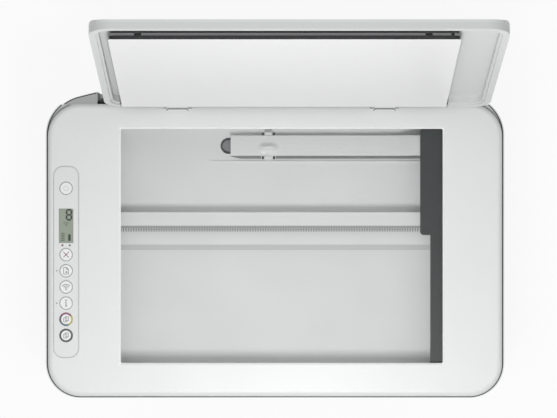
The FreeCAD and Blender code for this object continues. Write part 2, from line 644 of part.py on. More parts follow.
rack_pitch = math.pi * value("rack_module")
pinion_z = ("track_z + slack", "ledge_top - slack / 2")
scan_wheel = gear(SIZES["scan_teeth"], value("rack_module"), math.pi / 2 + math.pi / SIZES["scan_teeth"],
                  (scan_x, "pinion_y"), pinion_z, "z")
piece("scan_pinion", join(scan_wheel, rod("z", (scan_x, "pinion_y"), "pin_radius",
                                          (pinion_z[0], "scan_under + 5.7"))))


def rack_points():
    """Plan of the rack: a straight strip with teeth towards the front, one of them at the pinion."""
    module = value("rack_module")
    line_y = value("ledge_front - rack_strip")
    slope = math.tan(PRESSURE_ANGLE)
    tip_half = rack_pitch / 4 - TOOTH_PLAY / 2 - ADDENDUM * module * slope
    root_half = rack_pitch / 4 - TOOTH_PLAY / 2 + DEDENDUM * module * slope
    count = math.floor(value("bed_left + bed_right - 2 * bed_wall - rack_short") / rack_pitch)
    first = value(scan_x) - rack_pitch * round((value(scan_x) + rack_pitch * count / 2) / rack_pitch)
    points = []
    for tooth in range(count):
        middle = first + tooth * rack_pitch
        points += [(middle - root_half, line_y + DEDENDUM * module),
                   (middle - tip_half, line_y - ADDENDUM * module),
                   (middle + tip_half, line_y - ADDENDUM * module),
                   (middle + root_half, line_y + DEDENDUM * module)]
    back = value("ledge_front")
    return [(points[0][0], back)] + points + [(points[-1][0], back)]


rack_corners = [FreeCAD.Vector(x, y, value("track_z")) for x, y in rack_points()]
rack = doc.addObject("Part::Feature", "rack")
rack.Shape = Part.Face(Part.makePolygon(rack_corners + rack_corners[:1])).extrude(
    FreeCAD.Vector(0, 0, value("track_drop")))
piece("scan_rack", rack)
piece("scan_ribbon", block(("-ribbon_start", "shoulder_left - slack"), ribbon_y, ribbon_z))

# Scanner housing with the glass set under its top plate
cover_foot = "bezel_top - cover_height"
skirt = cut(case_solid("slack", "housing_top", cover_foot),
            block(across("body_width"), ("bezel_rear", "rear_y + wall"),
                  ("housing_top - wall", "bezel_top")))
cover = soften(rounded_block(across("bezel_half"), ("bezel_front", "bezel_rear"),
                             ("housing_top", "bezel_top"),
                             "bezel_corner"), "bezel_edge", level("bezel_top"))


def round_cover(gap):
    """A block that stands out beyond the cover by a gap, at the height of the seam."""
    return rounded_block(across(f"bezel_half + {gap}"), (f"bezel_front - {gap}", f"bezel_rear + {gap}"),
                         (f"{cover_foot} - seam_depth", "bezel_top"), f"bezel_corner + {gap}")


seam = cut(round_cover("seam_gap + seam_width"), round_cover("seam_gap"))
bezel_outside = cut(join(skirt, cover), seam)
bezel_inside = rounded_block(across("bezel_half - bezel_skirt"),
                             ("bezel_front + bezel_skirt", "bezel_rear - bezel_skirt"),
                             ("housing_top - 1", "plate_under"), "bezel_corner - bezel_skirt")
window = rounded_block(("glass_left", "glass_right"), ("glass_front", "glass_rear"),
                       ("plate_under - 1", "bezel_top + 1"),
                       "glass_bevel")
window_flare = soften(rounded_block(("glass_left - glass_bevel", "glass_right + glass_bevel"),
                                    ("glass_front - glass_bevel", "glass_rear + glass_bevel"),
                                    ("bezel_top - glass_bevel", "bezel_top"), "glass_bevel * 2"),
                      "glass_bevel * 0.98", level("bezel_top - glass_bevel"), "Chamfer")
panel_y = ("panel_rear - panel_length", "panel_rear")
panel_seat = rounded_block(("panel_left - slack", "panel_right + slack"),
                           (f"{panel_y[0]} - slack", f"{panel_y[1]} + slack"),
                           ("panel_floor", "bezel_top + 1"), "panel_corner + slack")
BUTTONS = {"power_button": "panel_line - power_setback"}
for step, label in enumerate(["cancel", "resume", "wireless", "info", "color_copy", "black_copy"]):
    BUTTONS[label + "_button"] = f"panel_line - cancel_setback - {step} * button_pitch"
button_wells = [rod("z", ("panel_x", y), "button_radius + button_gap", ("plate_under - 1", "bezel_top + 1"))
                for y in BUTTONS.values()]
HINGES = ["-hinge_left", "hinge_right"]
bracket_y = ("axis_y - knuckle_radius", "bezel_rear")
hinge_notches = [block(around(x, "knuckle_half + ear_width + 2 * slack"),
                       (f"{bracket_y[0]} - slack", "bezel_rear + 1"),
                       ("bezel_top - bracket_depth", "bezel_top + 1")) for x in HINGES]
board_posts = [rod("z", (x, y), "wall", ("board_top", "bezel_top - bezel_plate / 2"))
               for x in ("panel_left + 2.5",
                         "panel_right - 1") for y in (f"{panel_y[0]} + 8", f"{panel_y[1]} - 8")]
bezel_shell = cut(bezel_outside, bezel_inside, window, window_flare, *hinge_notches)
piece("scanner_bezel", cut(join(bezel_shell, *board_posts), panel_seat, *button_wells))
piece("platen_glass", block(("glass_left - glass_margin", "glass_right + glass_margin"),
                            ("glass_front - glass_margin",
                             "glass_rear + glass_margin"), ("glass_under", "plate_under")))

# Control panel, its display, buttons and the board that they press
display_y = ("panel_line - display_setback - display_length / 2",
             "panel_line - display_setback + display_length / 2")
display_x = around("panel_x", "display_width / 2")
panel_plate = rounded_block(("panel_left", "panel_right"), panel_y, ("panel_floor", "bezel_top"),
                            "panel_corner")
display_window = block((f"{display_x[0]} - slack / 2", f"{display_x[1]} + slack / 2"),
                       (f"{display_y[0]} - slack / 2",
                        f"{display_y[1]} + slack / 2"), ("panel_floor - 1", "bezel_top + 1"))
panel_wells = [rod("z", ("panel_x", y), "button_radius + button_gap", ("panel_floor - 1", "bezel_top + 1"))
               for y in BUTTONS.values()]
piece("control_panel", cut(panel_plate, display_window, *panel_wells))
piece("lcd_display", rounded_block(display_x, display_y, ("panel_floor", "bezel_top - slack / 2"),
                                   "display_corner"))
for label, y in BUTTONS.items():
    cap = new_body("cap")
    cap_sketch = sketch_on(cap, "XY_Plane", "bezel_top + button_proud - button_height")
    circle = Part.Circle(FreeCAD.Vector(value("panel_x"), value(y), 0), FreeCAD.Vector(0, 0, 1),
                         value("button_radius"))
    ring = cap_sketch.addGeometry(circle)
    fix(cap_sketch, "DistanceX", -1, 1, ring, 3, size="panel_x")
    fix(cap_sketch, "DistanceY", -1, 1, ring, 3, size=y)
    fix(cap_sketch, "Radius", ring, size="button_radius")
    pad(cap, cap_sketch, "button_height")
    piece(label, soften(cap, "button_proud", level("bezel_top + button_proud")))
board_slab = block(("panel_left - 1", "panel_right + 2.5"), (f"{panel_y[0]} + 2", f"{panel_y[1]} - 2"),
                   ("board_top - board_thickness", "board_top"))
domes = [rod("z", ("panel_x", y), "wall", ("board_top", "board_top + 1.2")) for y in BUTTONS.values()]
piece("control_board", join(board_slab, *domes))

# Hinge brackets in the rear edge of the scanner housing
ear_z = ("bezel_top - bracket_depth", "axis_z + knuckle_radius")
brackets = []
for x in HINGES:
    base = block(around(x, "knuckle_half + ear_width + slack"), bracket_y,
                 ("bezel_top - bracket_depth", "bezel_top - slack"))
    ears = [block(span, ("axis_y - knuckle_radius", "axis_y + knuckle_radius"), ear_z)
            for span in ((f"({x}) - knuckle_half - ear_width - slack", f"({x}) - knuckle_half - slack"),
                         (f"({x}) + knuckle_half + slack", f"({x}) + knuckle_half + ear_width + slack"))]
    bore = rod("x", ("axis_y", "axis_z"), "pin_radius + bore_clearance",
               around(x, "knuckle_half + 2 * ear_width"))
    brackets.append(cut(join(base, *ears), bore))
piece("hinge_brackets", group(*brackets))

# Scanner lid, made about the hinge axis with its front towards -Y, then opened
lid_x = ("-lid_left", "lid_right")
lid_y = ("-lid_reach", "-lid_gap")
lid_top = "lid_height - axis_rise"
lid_slab = soften(rounded_block(lid_x, lid_y, ("lid_under", lid_top), "lid_corner"), "lid_edge",
                  level(lid_top))


def lid_hollow(rim, depth):
    return rounded_block((f"{lid_x[0]} + {rim}", f"{lid_x[1]} - ({rim})"),
                         (f"{lid_y[0]} + {rim}", f"{lid_y[1]} - ({rim})"),
                         ("lid_under - 1", f"lid_under + {depth}"), f"lid_corner - ({rim})")


pad_x = ("-pad_left", "pad_right")
pad_y = ("-pad_reach", "-lid_gap - slack")
pad_gate = block((f"{pad_x[0]} - 1.5", f"{pad_x[1]} + 1.5"), ("-lid_gap - 2 * lid_rim", "1"),
                 ("lid_under - 1", "lid_floor"))
knuckles = []
for x in HINGES:
    knuckles.append(rod("x", ("0", "0"), "knuckle_radius", around(x, "knuckle_half")))
    knuckles.append(rod("x", ("0", "0"), "pin_radius", around(x, "knuckle_half + ear_width")))
    knuckles.append(block(around(x, "knuckle_half"), ("-knuckle_radius", "0"), ("0", "lid_floor + wall")))
    knuckles.append(block(around(x, "knuckle_half"), ("-lid_gap - lid_edge", "0"),
                          ("lid_floor", "lid_floor + wall")))
lid_slope = profile_along_x([(f"{lid_y[0]} - lid_crown", f"{lid_top} - 2 * lid_bevel"),
                             (f"{lid_y[0]} + lid_crown", lid_top),
                             (f"{lid_y[0]} - lid_crown", lid_top)], around("0", "body_width"))
lid_tray = cut(lid_slab, lid_slope, lid_hollow("lid_rim", "lid_depth"),
               lid_hollow("(lid_rim - lid_step)", "lid_step"), pad_gate)
piece("lid_shell", on_lid(join(lid_tray, *knuckles)))

# Layered document pad: cushion, stiff carrier with clip notches, foam and a white film
cushion_z = ("lid_floor - cushion_thickness", "lid_floor")
carrier_z = (f"{cushion_z[0]} - carrier_thickness", cushion_z[0])
foam_z = (f"{carrier_z[0]} - foam_thickness", carrier_z[0])
film_z = (f"{foam_z[0]} - film_thickness", foam_z[0])
inner_x = (f"{pad_x[0]} + 1", f"{pad_x[1]} - 1")
inner_y = (f"{pad_y[0]} + 1", pad_y[1])
piece("pad_foam", on_lid(group(block(inner_x, inner_y, cushion_z), block(inner_x, inner_y, foam_z))))
clip_notches = [block(around(x, half), (f"{pad_y[0]} - 1", f"{pad_y[0]} + 4"),
                      (f"{carrier_z[0]} - 1", f"{carrier_z[1]} + 1"))
                for x, half in (("-pad_left + 25", "3"), ("pad_right - 27", "3"), ("pad_right - 7", "1.4"))]
piece("pad_carrier", on_lid(cut(block(pad_x, pad_y, carrier_z), *clip_notches)))
piece("document_pad", on_lid(rounded_block(pad_x, pad_y, film_z, "2")))

# Rear input tray, made about its pivot standing upright, then leaned back
support_front = "-support_thickness / 2"
support_back = "support_thickness / 2"
guide_slot_z = ("11", "15")
support_panel = block(across("support_half"), (support_front, support_back), ("0", "support_height"))
support_roll = rod("x", ("0", "0"), support_back, across("support_half"))
support_pins = rod("x", ("0", "0"), "support_pin", across("notch_half + wall - slack"))
guide_slot = block(("0", "guide_place + 6"), around("0", "support_thickness"), guide_slot_z)
extension_z = ("support_height - 2 - extension_height", "support_height - 2")
channel_y = (support_back, f"{support_back} + extension_thickness + 2 * slack + 1.6")
channels = [cut(block(x, channel_y, ("18", "support_height - 3")),
                block(across("extension_half + slack"),
                      (support_back,
                       f"{support_back} + extension_thickness + 2 * slack"), ("0", "support_height")))
            for x in both_sides("extension_half - 3", "extension_half + 3")]
piece("input_tray", on_support(cut(join(support_panel, support_roll, support_pins, *channels), guide_slot)))
extension_y = (f"{support_back} + slack", f"{support_back} + slack + extension_thickness")
extension_plate = block(across("extension_half"), extension_y, extension_z)
extension_grip = rod("y", ("0", extension_z[1]), "6", around(support_back, "3 * extension_thickness"))
piece("input_extension", on_support(cut(extension_plate, extension_grip)))
guide_x = ("guide_place - guide_length", "guide_place")
guide_fin = block(("guide_place - 2", "guide_place"),
                  (f"{support_front} - slack - 4.6", f"{support_front} - slack"),
                  ("6", "6 + guide_height"))
guide_shoe = block(guide_x, (f"{support_front} - slack - 1.4", f"{support_front} - slack"), ("7", "19"))
guide_key = block(guide_x, (f"{support_front} - slack", f"{support_back} + slack"),
                  (f"{guide_slot_z[0]} + slack", f"{guide_slot_z[1]} - slack"))
guide_head = block(guide_x, (f"{support_back} + slack", f"{support_back} + slack + 1.2"), ("10", "16"))
piece("width_guide", on_support(join(guide_fin, guide_shoe, guide_key, guide_head)))

# Side frames that carry the rollers, and the platen and chute between them
LAYOUT["span"] = "sqrt((feed_y - exit_y)^2 + (feed_z - exit_z)^2)"
LAYOUT["along"] = "((feed_pitch + idler_pitch)^2 - (exit_pitch + idler_pitch)^2 + span^2) / (2 * span)"
LAYOUT["drop"] = "sqrt((feed_pitch + idler_pitch)^2 - along^2)"
LAYOUT["idler_y"] = "feed_y + along * (exit_y - feed_y) / span - drop * (exit_z - feed_z) / span"
LAYOUT["idler_z"] = "feed_z + along * (exit_z - feed_z) / span + drop * (exit_y - feed_y) / span"
FEED_AXIS = ("feed_y", "feed_z")
EXIT_AXIS = ("exit_y", "exit_z")
PICKUP_AXIS = ("pickup_y", "pickup_z")
IDLER_AXIS = ("idler_y", "idler_z")
DRIVE_AXIS = ("drive_y", "drive_z")
frame_outline = [("exit_y - 14", "floor_z"), ("pickup_y + 46", "floor_z"),
                 ("pickup_y + 46", "pickup_z + 2"),
                 ("pickup_y + 14", "pickup_z + 8"), ("pickup_y - 14", "pickup_z + 8"),
                 ("pickup_y - 20", "paper_height + 5.5"), ("exit_y + 5", "paper_height + 5.5"),
                 ("exit_y + 4", "star_z + 12"), ("exit_y - 11", "star_z + 12"), ("exit_y - 14", "star_z")]
frames = []
for side in both_sides("frame_half", "frame_half + frame_thickness"):
    bores = [rod("x", axis, "shaft_radius + bore_clearance", across("frame_half + 2 * frame_thickness"))
             for axis in (FEED_AXIS, EXIT_AXIS, PICKUP_AXIS)]
    bores.append(rod("x", ("exit_y", "star_z"), "star_rod + bore_clearance",
                     across("frame_half + 2 * frame_thickness")))
    frames.append(cut(profile_along_x(frame_outline, side), *bores))
idler_pin = rod("x", IDLER_AXIS, "pin_radius", ("gear_left", "-frame_half - frame_thickness / 2"))
piece("side_frames", group(join(frames[1], idler_pin), frames[0]))

platen_y = ("exit_y + exit_tyre + 4", "feed_y - feed_tyre - 4")
platen_slab = block(across("frame_half"), platen_y, ("paper_height - 12", "paper_height - 4"))
platen_ribs = [block(around(f"{step} * frame_half / 5", "1"), (f"{platen_y[0]} + 2", f"{platen_y[1]} - 2"),
                     ("paper_height - 4", "paper_height - slack")) for step in range(-4, 5)]
piece("print_platen", join(platen_slab, *platen_ribs))
chute_outline = [("bezel_rear + slot_width - 1.6", "support_z - 1"),
                 ("pickup_y + 16", "pickup_z - pickup_tyre - 1.2"),
                 ("pickup_y - 9", "pickup_z - pickup_tyre - 1.4"), ("feed_y + feed_tyre + 4",
                                                                    "feed_z + 1.5"),
                 ("feed_y + feed_tyre + 4", "feed_z - 1.5"), ("pickup_y - 9", "pickup_z - pickup_tyre - 4"),
                 ("pickup_y + 16.6", "pickup_z - pickup_tyre - 4"), ("bezel_rear + slot_width - 1.4",
                                                                     "support_z - 3.4")]
piece("rear_chute", profile_along_x(chute_outline, across("frame_half")))

# Rollers, their rubber tyres and the gear train on the left
shaft_span = across("frame_half + frame_thickness + slack")
left_span = ("gear_left", "frame_half + frame_thickness + slack")
gear_span = ("gear_left", "gear_right")
module = value("gear_module")
pitch = {name: value(name + "_pitch") for name in ("feed", "exit", "idler", "pinion", "pickup")}


def heading(start, end):
    """Angle in the side view from one axis to another."""
    return math.atan2(value(end[1]) - value(start[1]), value(end[0]) - value(start[0]))


def tyre_rings(axis, radius, places, width):
    rings = [cut(rod("x", axis, radius, around(x, width)),
                 rod("x", axis, "shaft_radius", around(x, f"{width} + 1")))
             for x in places]
    return group(*rings)


feed_phase = 0.0
pinion_phase = meshing_phase(heading(FEED_AXIS, DRIVE_AXIS), feed_phase, pitch["feed"], pitch["pinion"],
                             module)
pickup_phase = meshing_phase(heading(DRIVE_AXIS, PICKUP_AXIS), pinion_phase, pitch["pinion"],
                             pitch["pickup"], module)
idler_phase = meshing_phase(heading(FEED_AXIS, IDLER_AXIS), feed_phase, pitch["feed"], pitch["idler"],
                            module)
exit_phase = meshing_phase(heading(IDLER_AXIS, EXIT_AXIS), idler_phase, pitch["idler"], pitch["exit"],
                           module)

feed_wheel = gear(SIZES["feed_teeth"], module, feed_phase, FEED_AXIS, gear_span, "x")
piece("feed_shaft", join(rod("x", FEED_AXIS, "shaft_radius", left_span), feed_wheel))
tyre_places = ["-frame_half * 0.7", "-frame_half * 0.25", "frame_half * 0.25", "frame_half * 0.7"]
piece("feed_tyres", tyre_rings(FEED_AXIS, "feed_tyre", tyre_places, "frame_half * 0.13"))
exit_wheel = gear(SIZES["exit_teeth"], module, exit_phase, EXIT_AXIS, gear_span, "x")
piece("exit_shaft", join(rod("x", EXIT_AXIS, "shaft_radius", left_span), exit_wheel))
piece("exit_tyres", tyre_rings(EXIT_AXIS, "exit_tyre", tyre_places, "frame_half * 0.06"))
pickup_wheel = gear(SIZES["pickup_teeth"], module, pickup_phase, PICKUP_AXIS, gear_span, "x")
piece("pickup_shaft", join(rod("x", PICKUP_AXIS, "shaft_radius", left_span), pickup_wheel))
piece("pickup_tyre", tyre_rings(PICKUP_AXIS, "pickup_tyre", ["0"], "frame_half * 0.25"))
idler_wheel = gear(SIZES["idler_teeth"], module, idler_phase, IDLER_AXIS, gear_span, "x")
piece("idler_gear", cut(idler_wheel, rod("x", IDLER_AXIS, "pin_radius + bore_clearance",
                                         around("gear_left", "2 * gear_width"))))
drive_wheel = gear(SIZES["pinion_teeth"], module, pinion_phase, DRIVE_AXIS, gear_span, "x")
motor_x = ("gear_left - gear_gap - motor_length", "gear_left - gear_gap")
piece("feed_pinion", join(drive_wheel, rod("x", DRIVE_AXIS, "motor_shaft",
                                           ("gear_left - gear_gap - 8", "gear_left + 1"))))

# Star wheels over the exit rollers and pinch rollers over the feed roller
star_places = [f"{step} * frame_half / 4" for step in (-3, -1, 1, 3)]
star_axis = ("exit_y", "star_z")
stars = [rod("x", star_axis, "star_radius", around(x, "0.6")) for x in star_places]
piece("star_wheels", join(rod("x", star_axis, "star_rod", shaft_span), *stars))
bar_slots = [block(around(x, "2"), around("exit_y", "star_radius + 2"),
                   ("star_z", "star_z + star_radius + 2.5"))
             for x in star_places]
piece("star_wheel_bar", cut(block(across("frame_half"), ("exit_y - 8", "exit_y + 3"),
                                  ("star_z + star_rod + 1.5", "star_z + 11")), *bar_slots))
pinch_axis = ("feed_y", "pinch_z")
tab_half = "frame_half - 10"
pinches = [rod("x", pinch_axis, "pinch_radius", around(x, "frame_half * 0.1")) for x in tyre_places]
piece("pinch_rollers", join(rod("x", pinch_axis, "pinch_rod", across(f"{tab_half} + rail_sheet")),
                            *pinches))

# Folded steel carriage rail with its flanges, legs, pinch tabs and idler pin
sheet_y = ("rail_y", "rail_y + rail_sheet")
web = block(across("rail_half"), sheet_y, ("rail_bottom", "rail_top"))
top_flange = block(across("rail_half"), ("belt_y - 1.5", "rail_y"), ("rail_top - rail_sheet", "rail_top"))
low_flange = block(across("frame_half - 3"), ("feed_y - 8", "rail_y"),
                   ("rail_bottom", "rail_bottom + rail_sheet"))
legs = [block(x, sheet_y, ("floor_z", "rail_bottom + 1"))
        for x in both_sides("rail_half - 20", "rail_half")]
soles = [block(x, ("rail_y", "rail_y + 12"), ("floor_z", "floor_z + rail_sheet"))
         for x in both_sides("rail_half - 20", "rail_half")]
tabs = [block(x, around("feed_y", "4"), ("pinch_z - 3", "rail_bottom + 1"))
        for x in both_sides(tab_half, f"{tab_half} + rail_sheet")]
tab_bores = rod("x", pinch_axis, "pinch_rod + bore_clearance", across("frame_half"))
MOTOR_PULLEY = ("-pulley_half", "belt_height")
IDLER_PULLEY = ("pulley_half", "belt_height")
idler_stud = rod("y", IDLER_PULLEY, "pin_radius", ("belt_y", "rail_y + rail_sheet"))
shaft_hole = rod("y", MOTOR_PULLEY, "motor_shaft + slack", ("rail_y - 1", "rail_y + 2 * rail_sheet"))
piece("carriage_rail", cut(join(web, top_flange, low_flange, *legs, *soles, *tabs, idler_stud), tab_bores,
                           shaft_hole))

# Timing belt, its two pulleys and the two motors
belt_run = ("belt_y", "belt_y + belt_width")


def belt_loop(radius, depth):
    ends = [rod("y", centre, radius, depth) for centre in (MOTOR_PULLEY, IDLER_PULLEY)]
    middle = block(across("pulley_half"), depth, around("belt_height", radius))
    return join(middle, *ends)


piece("carriage_belt", cut(belt_loop("belt_radius + belt_thickness", belt_run),
                           belt_loop("belt_radius", (f"{belt_run[0]} - 1", f"{belt_run[1]} + 1"))))
pulley_run = ("belt_y + slack", "belt_y + belt_width - slack")
pulley_disc = rod("y", MOTOR_PULLEY, "belt_radius - slack", pulley_run)
pulley_shaft = rod("y", MOTOR_PULLEY, "motor_shaft", ("belt_y + slack", "rail_y + rail_sheet + 8"))
piece("motor_pulley", join(pulley_disc, pulley_shaft))
piece("idler_pulley", cut(rod("y", IDLER_PULLEY, "belt_radius - slack", pulley_run),
                          rod("y", IDLER_PULLEY, "pin_radius + bore_clearance",
                              around("belt_y", "2 * belt_width"))))
rail_motor = cut(rod("y", MOTOR_PULLEY, "motor_radius",
                     ("rail_y + rail_sheet", "rail_y + rail_sheet + motor_length")),
                 rod("y", MOTOR_PULLEY, "motor_shaft + bore_clearance",
                     ("rail_y", "rail_y + rail_sheet + 9")))
motor_plate = block(("gear_left - gear_gap - rail_sheet", "gear_left - gear_gap"),
                    around("drive_y", "motor_radius + 4"),
                    ("floor_z", "drive_z + motor_radius"))
feed_motor = cut(join(rod("x", DRIVE_AXIS, "motor_radius", motor_x), motor_plate),
                 rod("x", DRIVE_AXIS, "motor_shaft + bore_clearance",
                     ("gear_left - gear_gap - 9", "gear_left")))
piece("drive_motors", group(rail_motor, feed_motor))

# Print carriage that hooks over the rail and grips the belt, with two ink cartridges
cradle_x = ("cradle_left", "cradle_right")
cradle_back = "belt_y - 2"
front_half = block(cradle_x, ("cradle_y", "cradle_mid"), ("cradle_bottom", "cradle_top"))
rear_half = block(cradle_x, ("cradle_mid", cradle_back), ("rail_bottom + 5", "rail_top + slack + 2.5"))
hook = block(cradle_x, (f"{cradle_back} - 1", "rail_y - slack"),
             ("rail_top + slack", "rail_top + slack + 2.5"))
heel = block(cradle_x, (f"{cradle_back} - 1", "rail_y - slack"), ("rail_bottom + 5", "rail_bottom + 9"))
grip_x = around("(cradle_left + cradle_right) / 2", "10")
jaw_gap = "belt_height - belt_radius"
jaws = [block(grip_x, (f"{cradle_back} - 1", "belt_y + belt_width"), span)
        for span in ((f"{jaw_gap} - belt_thickness - slack - 2", f"{jaw_gap} - belt_thickness - slack"),
                     (f"{jaw_gap} + slack", f"{jaw_gap} + slack + 2"))]
pocket_z = "cradle_bottom + 3.5"
pockets = []
CARTRIDGES = {"black_cartridge": "cradle_left + cradle_wall + slack",
              "color_cartridge": "cradle_right - cradle_wall - slack - cartridge_width"}
for left in CARTRIDGES.values():
    pocket_x = (f"{left} - slack", f"{left} + cartridge_width + slack")
    pockets.append(block(pocket_x, ("cradle_y - 1", "cradle_mid - cradle_wall"),
                         (pocket_z, "cradle_top + 1")))
    pockets.append(block((f"{left} + 2", f"{left} + cartridge_width - 2"),
                         ("cradle_y + 4", "cradle_mid - 10"),
                         ("cradle_bottom - 1", "cradle_top")))
piece("print_carriage", cut(join(front_half, rear_half, hook, heel, *jaws), *pockets))
cartridge_z = f"{pocket_z} + slack"
cartridge_back = "cradle_mid - cradle_wall - slack"
for label, left in CARTRIDGES.items():
    tank = profile_along_x([("cradle_y", cartridge_z), (cartridge_back, cartridge_z),
                            (cartridge_back, f"{cartridge_z} + cartridge_height - 3"),
                            (f"{cartridge_back} - 8", f"{cartridge_z} + cartridge_height"),
                            ("cradle_y + 10", f"{cartridge_z} + cartridge_height"),
                            ("cradle_y",
                             f"{cartridge_z} + cartridge_height - 8")], (left, f"{left} + cartridge_width"))
    nozzle = block((f"{left} + 2 + slack", f"{left} + cartridge_width - 2 - slack"),
                   ("cradle_y + 4 + slack",
                    "cradle_mid - 10 - slack"), ("cradle_bottom + slack", f"{cartridge_z} + 1"))
    piece(label, join(tank, nozzle))

# Service station under the parked carriage: a sled with two capping wells
station_x = ("cradle_left + 1", "cradle_right - 1")
station_y = ("cradle_y + 2", "cradle_mid + 2")
sled = block(station_x, station_y, ("floor_z", "floor_z + station_height"))
sled_hollow = block((f"{station_x[0]} + wall", f"{station_x[1]} - wall"),
                    (f"{station_y[0]} + wall", f"{station_y[1]} - wall"),
                    (f"floor_z + station_height - 10", "floor_z + station_height + 1"))
caps = []
for left in CARTRIDGES.values():
    cap_x = (f"{left} + 1", f"{left} + cartridge_width - 1")
    cap_y = ("cradle_y + 6", "cradle_mid - 8")
    well_z = ("cradle_bottom - 3", "cradle_bottom")
    caps.append(cut(block(cap_x, cap_y, ("floor_z + station_height - 11", "cradle_bottom - slack")),
                    block((f"{cap_x[0]} + 2", f"{cap_x[1]} - 2"), (f"{cap_y[0]} + 2", f"{cap_y[1]} - 2"),
                          well_z)))
piece("service_station", join(cut(sled, sled_hollow), *caps))

# Electronics at the rear: main board with the data socket, power supply with the mains inlet
board_x = ("-half_width + front_corner / 2", f"{usb_x[1]} + 13")
board_y = ("rail_y + rail_sheet + motor_radius + 6", socket_back)
board_plate = block(board_x, board_y, ("board_z", "board_z + board_thickness"))
standoffs = [rod("z", (x, y), "wall", ("floor_z", "board_z + 1"))
             for x in (f"{board_x[0]} + 12", f"{board_x[1]} - 5")
             for y in (f"{board_y[0]} + 5", f"{board_y[1]} - 16")]
chips = [block(around(f"{board_x[0]} + {x}", half), around(f"{board_y[0]} + {y}", half),
               ("board_z + board_thickness", f"board_z + board_thickness + {rise}"))
         for x, y, half, rise in ((22, 16, 9, 2), (45, 14, 6, 2), (12, 34, 4, 8))]
piece("main_board", join(board_plate, *standoffs, *chips))
usb_box = block(usb_x, (f"{socket_back} - 8", socket_face), socket_span)
socket_mid = f"({socket_span[0]} + {socket_span[1]}) / 2"
usb_mouth = block(around("-socket_place", "4.2"), (f"{socket_face} - 10", f"{socket_face} + 1"),
                  around(socket_mid, "4"))
usb_tongue = block(around("-socket_place", "2.8"), (f"{socket_face} - 11", f"{socket_face} - 5"),
                   around(socket_mid, "1.4"))
piece("usb_port", join(cut(usb_box, usb_mouth), usb_tongue))
inlet_box = block(inlet_x, (socket_back, socket_face), socket_span)
inlet_lobes = [rod("y", (f"socket_place + {side}", socket_mid), "4",
                   (f"{socket_face} - 12", f"{socket_face} + 1"))
               for side in ("4", "-4")]
inlet_waist = block(around("socket_place", "4"), (f"{socket_face} - 12", f"{socket_face} + 1"),
                    around(socket_mid, "3"))
inlet_pins = [rod("y", (f"socket_place + {side}", socket_mid), "1.2",
                  (f"{socket_face} - 13", f"{socket_face} - 5"))
              for side in ("4", "-4")]
piece("power_inlet", join(cut(inlet_box, *inlet_lobes, inlet_waist), *inlet_pins))
piece("power_supply", rounded_block((f"{inlet_x[0]} - 8", f"{inlet_x[1]} + 18"),
                                    ("rail_y + 14", socket_back),
                                    ("floor_z", "floor_z + supply_height"), "3"))

# Every object has to be sound before anything is written
doc.recompute()
failed = [item.Label for item in doc.Objects if "Invalid" in item.State or "Error" in item.State]
failed += [label for label, item in PIECES.items() if item.Shape.isNull() or not item.Shape.isValid()]
if failed:
    raise RuntimeError("not sound: " + ", ".join(failed))
os.makedirs("parts", exist_ok=True)
for label, item in PIECES.items():
    item.Shape.exportStep(f"parts/{label}.step")
print(len(PIECES), "sub-parts written")
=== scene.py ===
import json
import math
import bpy
import numpy as np
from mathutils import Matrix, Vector


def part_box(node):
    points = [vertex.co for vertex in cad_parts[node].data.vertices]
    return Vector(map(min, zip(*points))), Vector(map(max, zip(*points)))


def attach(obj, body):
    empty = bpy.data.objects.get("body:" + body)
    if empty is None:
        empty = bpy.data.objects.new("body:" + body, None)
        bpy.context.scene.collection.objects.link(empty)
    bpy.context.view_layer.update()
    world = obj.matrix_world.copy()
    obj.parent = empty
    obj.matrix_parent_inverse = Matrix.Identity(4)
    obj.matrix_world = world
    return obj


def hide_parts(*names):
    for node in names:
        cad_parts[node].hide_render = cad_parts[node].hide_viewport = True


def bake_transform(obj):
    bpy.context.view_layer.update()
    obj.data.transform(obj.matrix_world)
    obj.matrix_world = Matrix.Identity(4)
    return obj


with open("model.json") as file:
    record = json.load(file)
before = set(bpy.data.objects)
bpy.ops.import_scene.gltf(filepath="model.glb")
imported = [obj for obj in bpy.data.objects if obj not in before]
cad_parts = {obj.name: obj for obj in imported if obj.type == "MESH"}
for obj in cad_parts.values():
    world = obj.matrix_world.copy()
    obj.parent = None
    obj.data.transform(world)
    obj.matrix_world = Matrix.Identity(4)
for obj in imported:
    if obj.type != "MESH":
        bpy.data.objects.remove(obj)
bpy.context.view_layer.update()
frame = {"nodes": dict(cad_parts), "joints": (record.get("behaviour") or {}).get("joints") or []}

MM = 0.001

# Base tub and feet. The tub is the printer's floor pan, moulded in pale textured plastic with a
# rolled lower edge. Four soft rubber feet are pressed onto its underside.
MIX_UNDER, MIX_OVER, MIX_RESULT = 6, 7, 2  # where the Mix node keeps its colours
TONE_CLOUD = 60 * MM


class Value:
    """A shader socket that adds a Math node whenever it is used in a sum."""

    def __init__(self, finish, socket):
        self.finish = finish
        self.socket = socket

    def sum(self, operation, first, second):
        return self.finish.node("ShaderNodeMath", {"operation": operation}, {0: first, 1: second})

    def __add__(self, other):
        return self.sum("ADD", self, other)

    def __sub__(self, other):
        return self.sum("SUBTRACT", self, other)

    def __rsub__(self, other):
        return self.sum("SUBTRACT", other, self)

    def __mul__(self, other):
        return self.sum("MULTIPLY", self, other)

    def __gt__(self, other):
        return self.sum("GREATER_THAN", self, other)

    def __lt__(self, other):
        return self.sum("LESS_THAN", self, other)

    __radd__ = __add__
    __rmul__ = __mul__


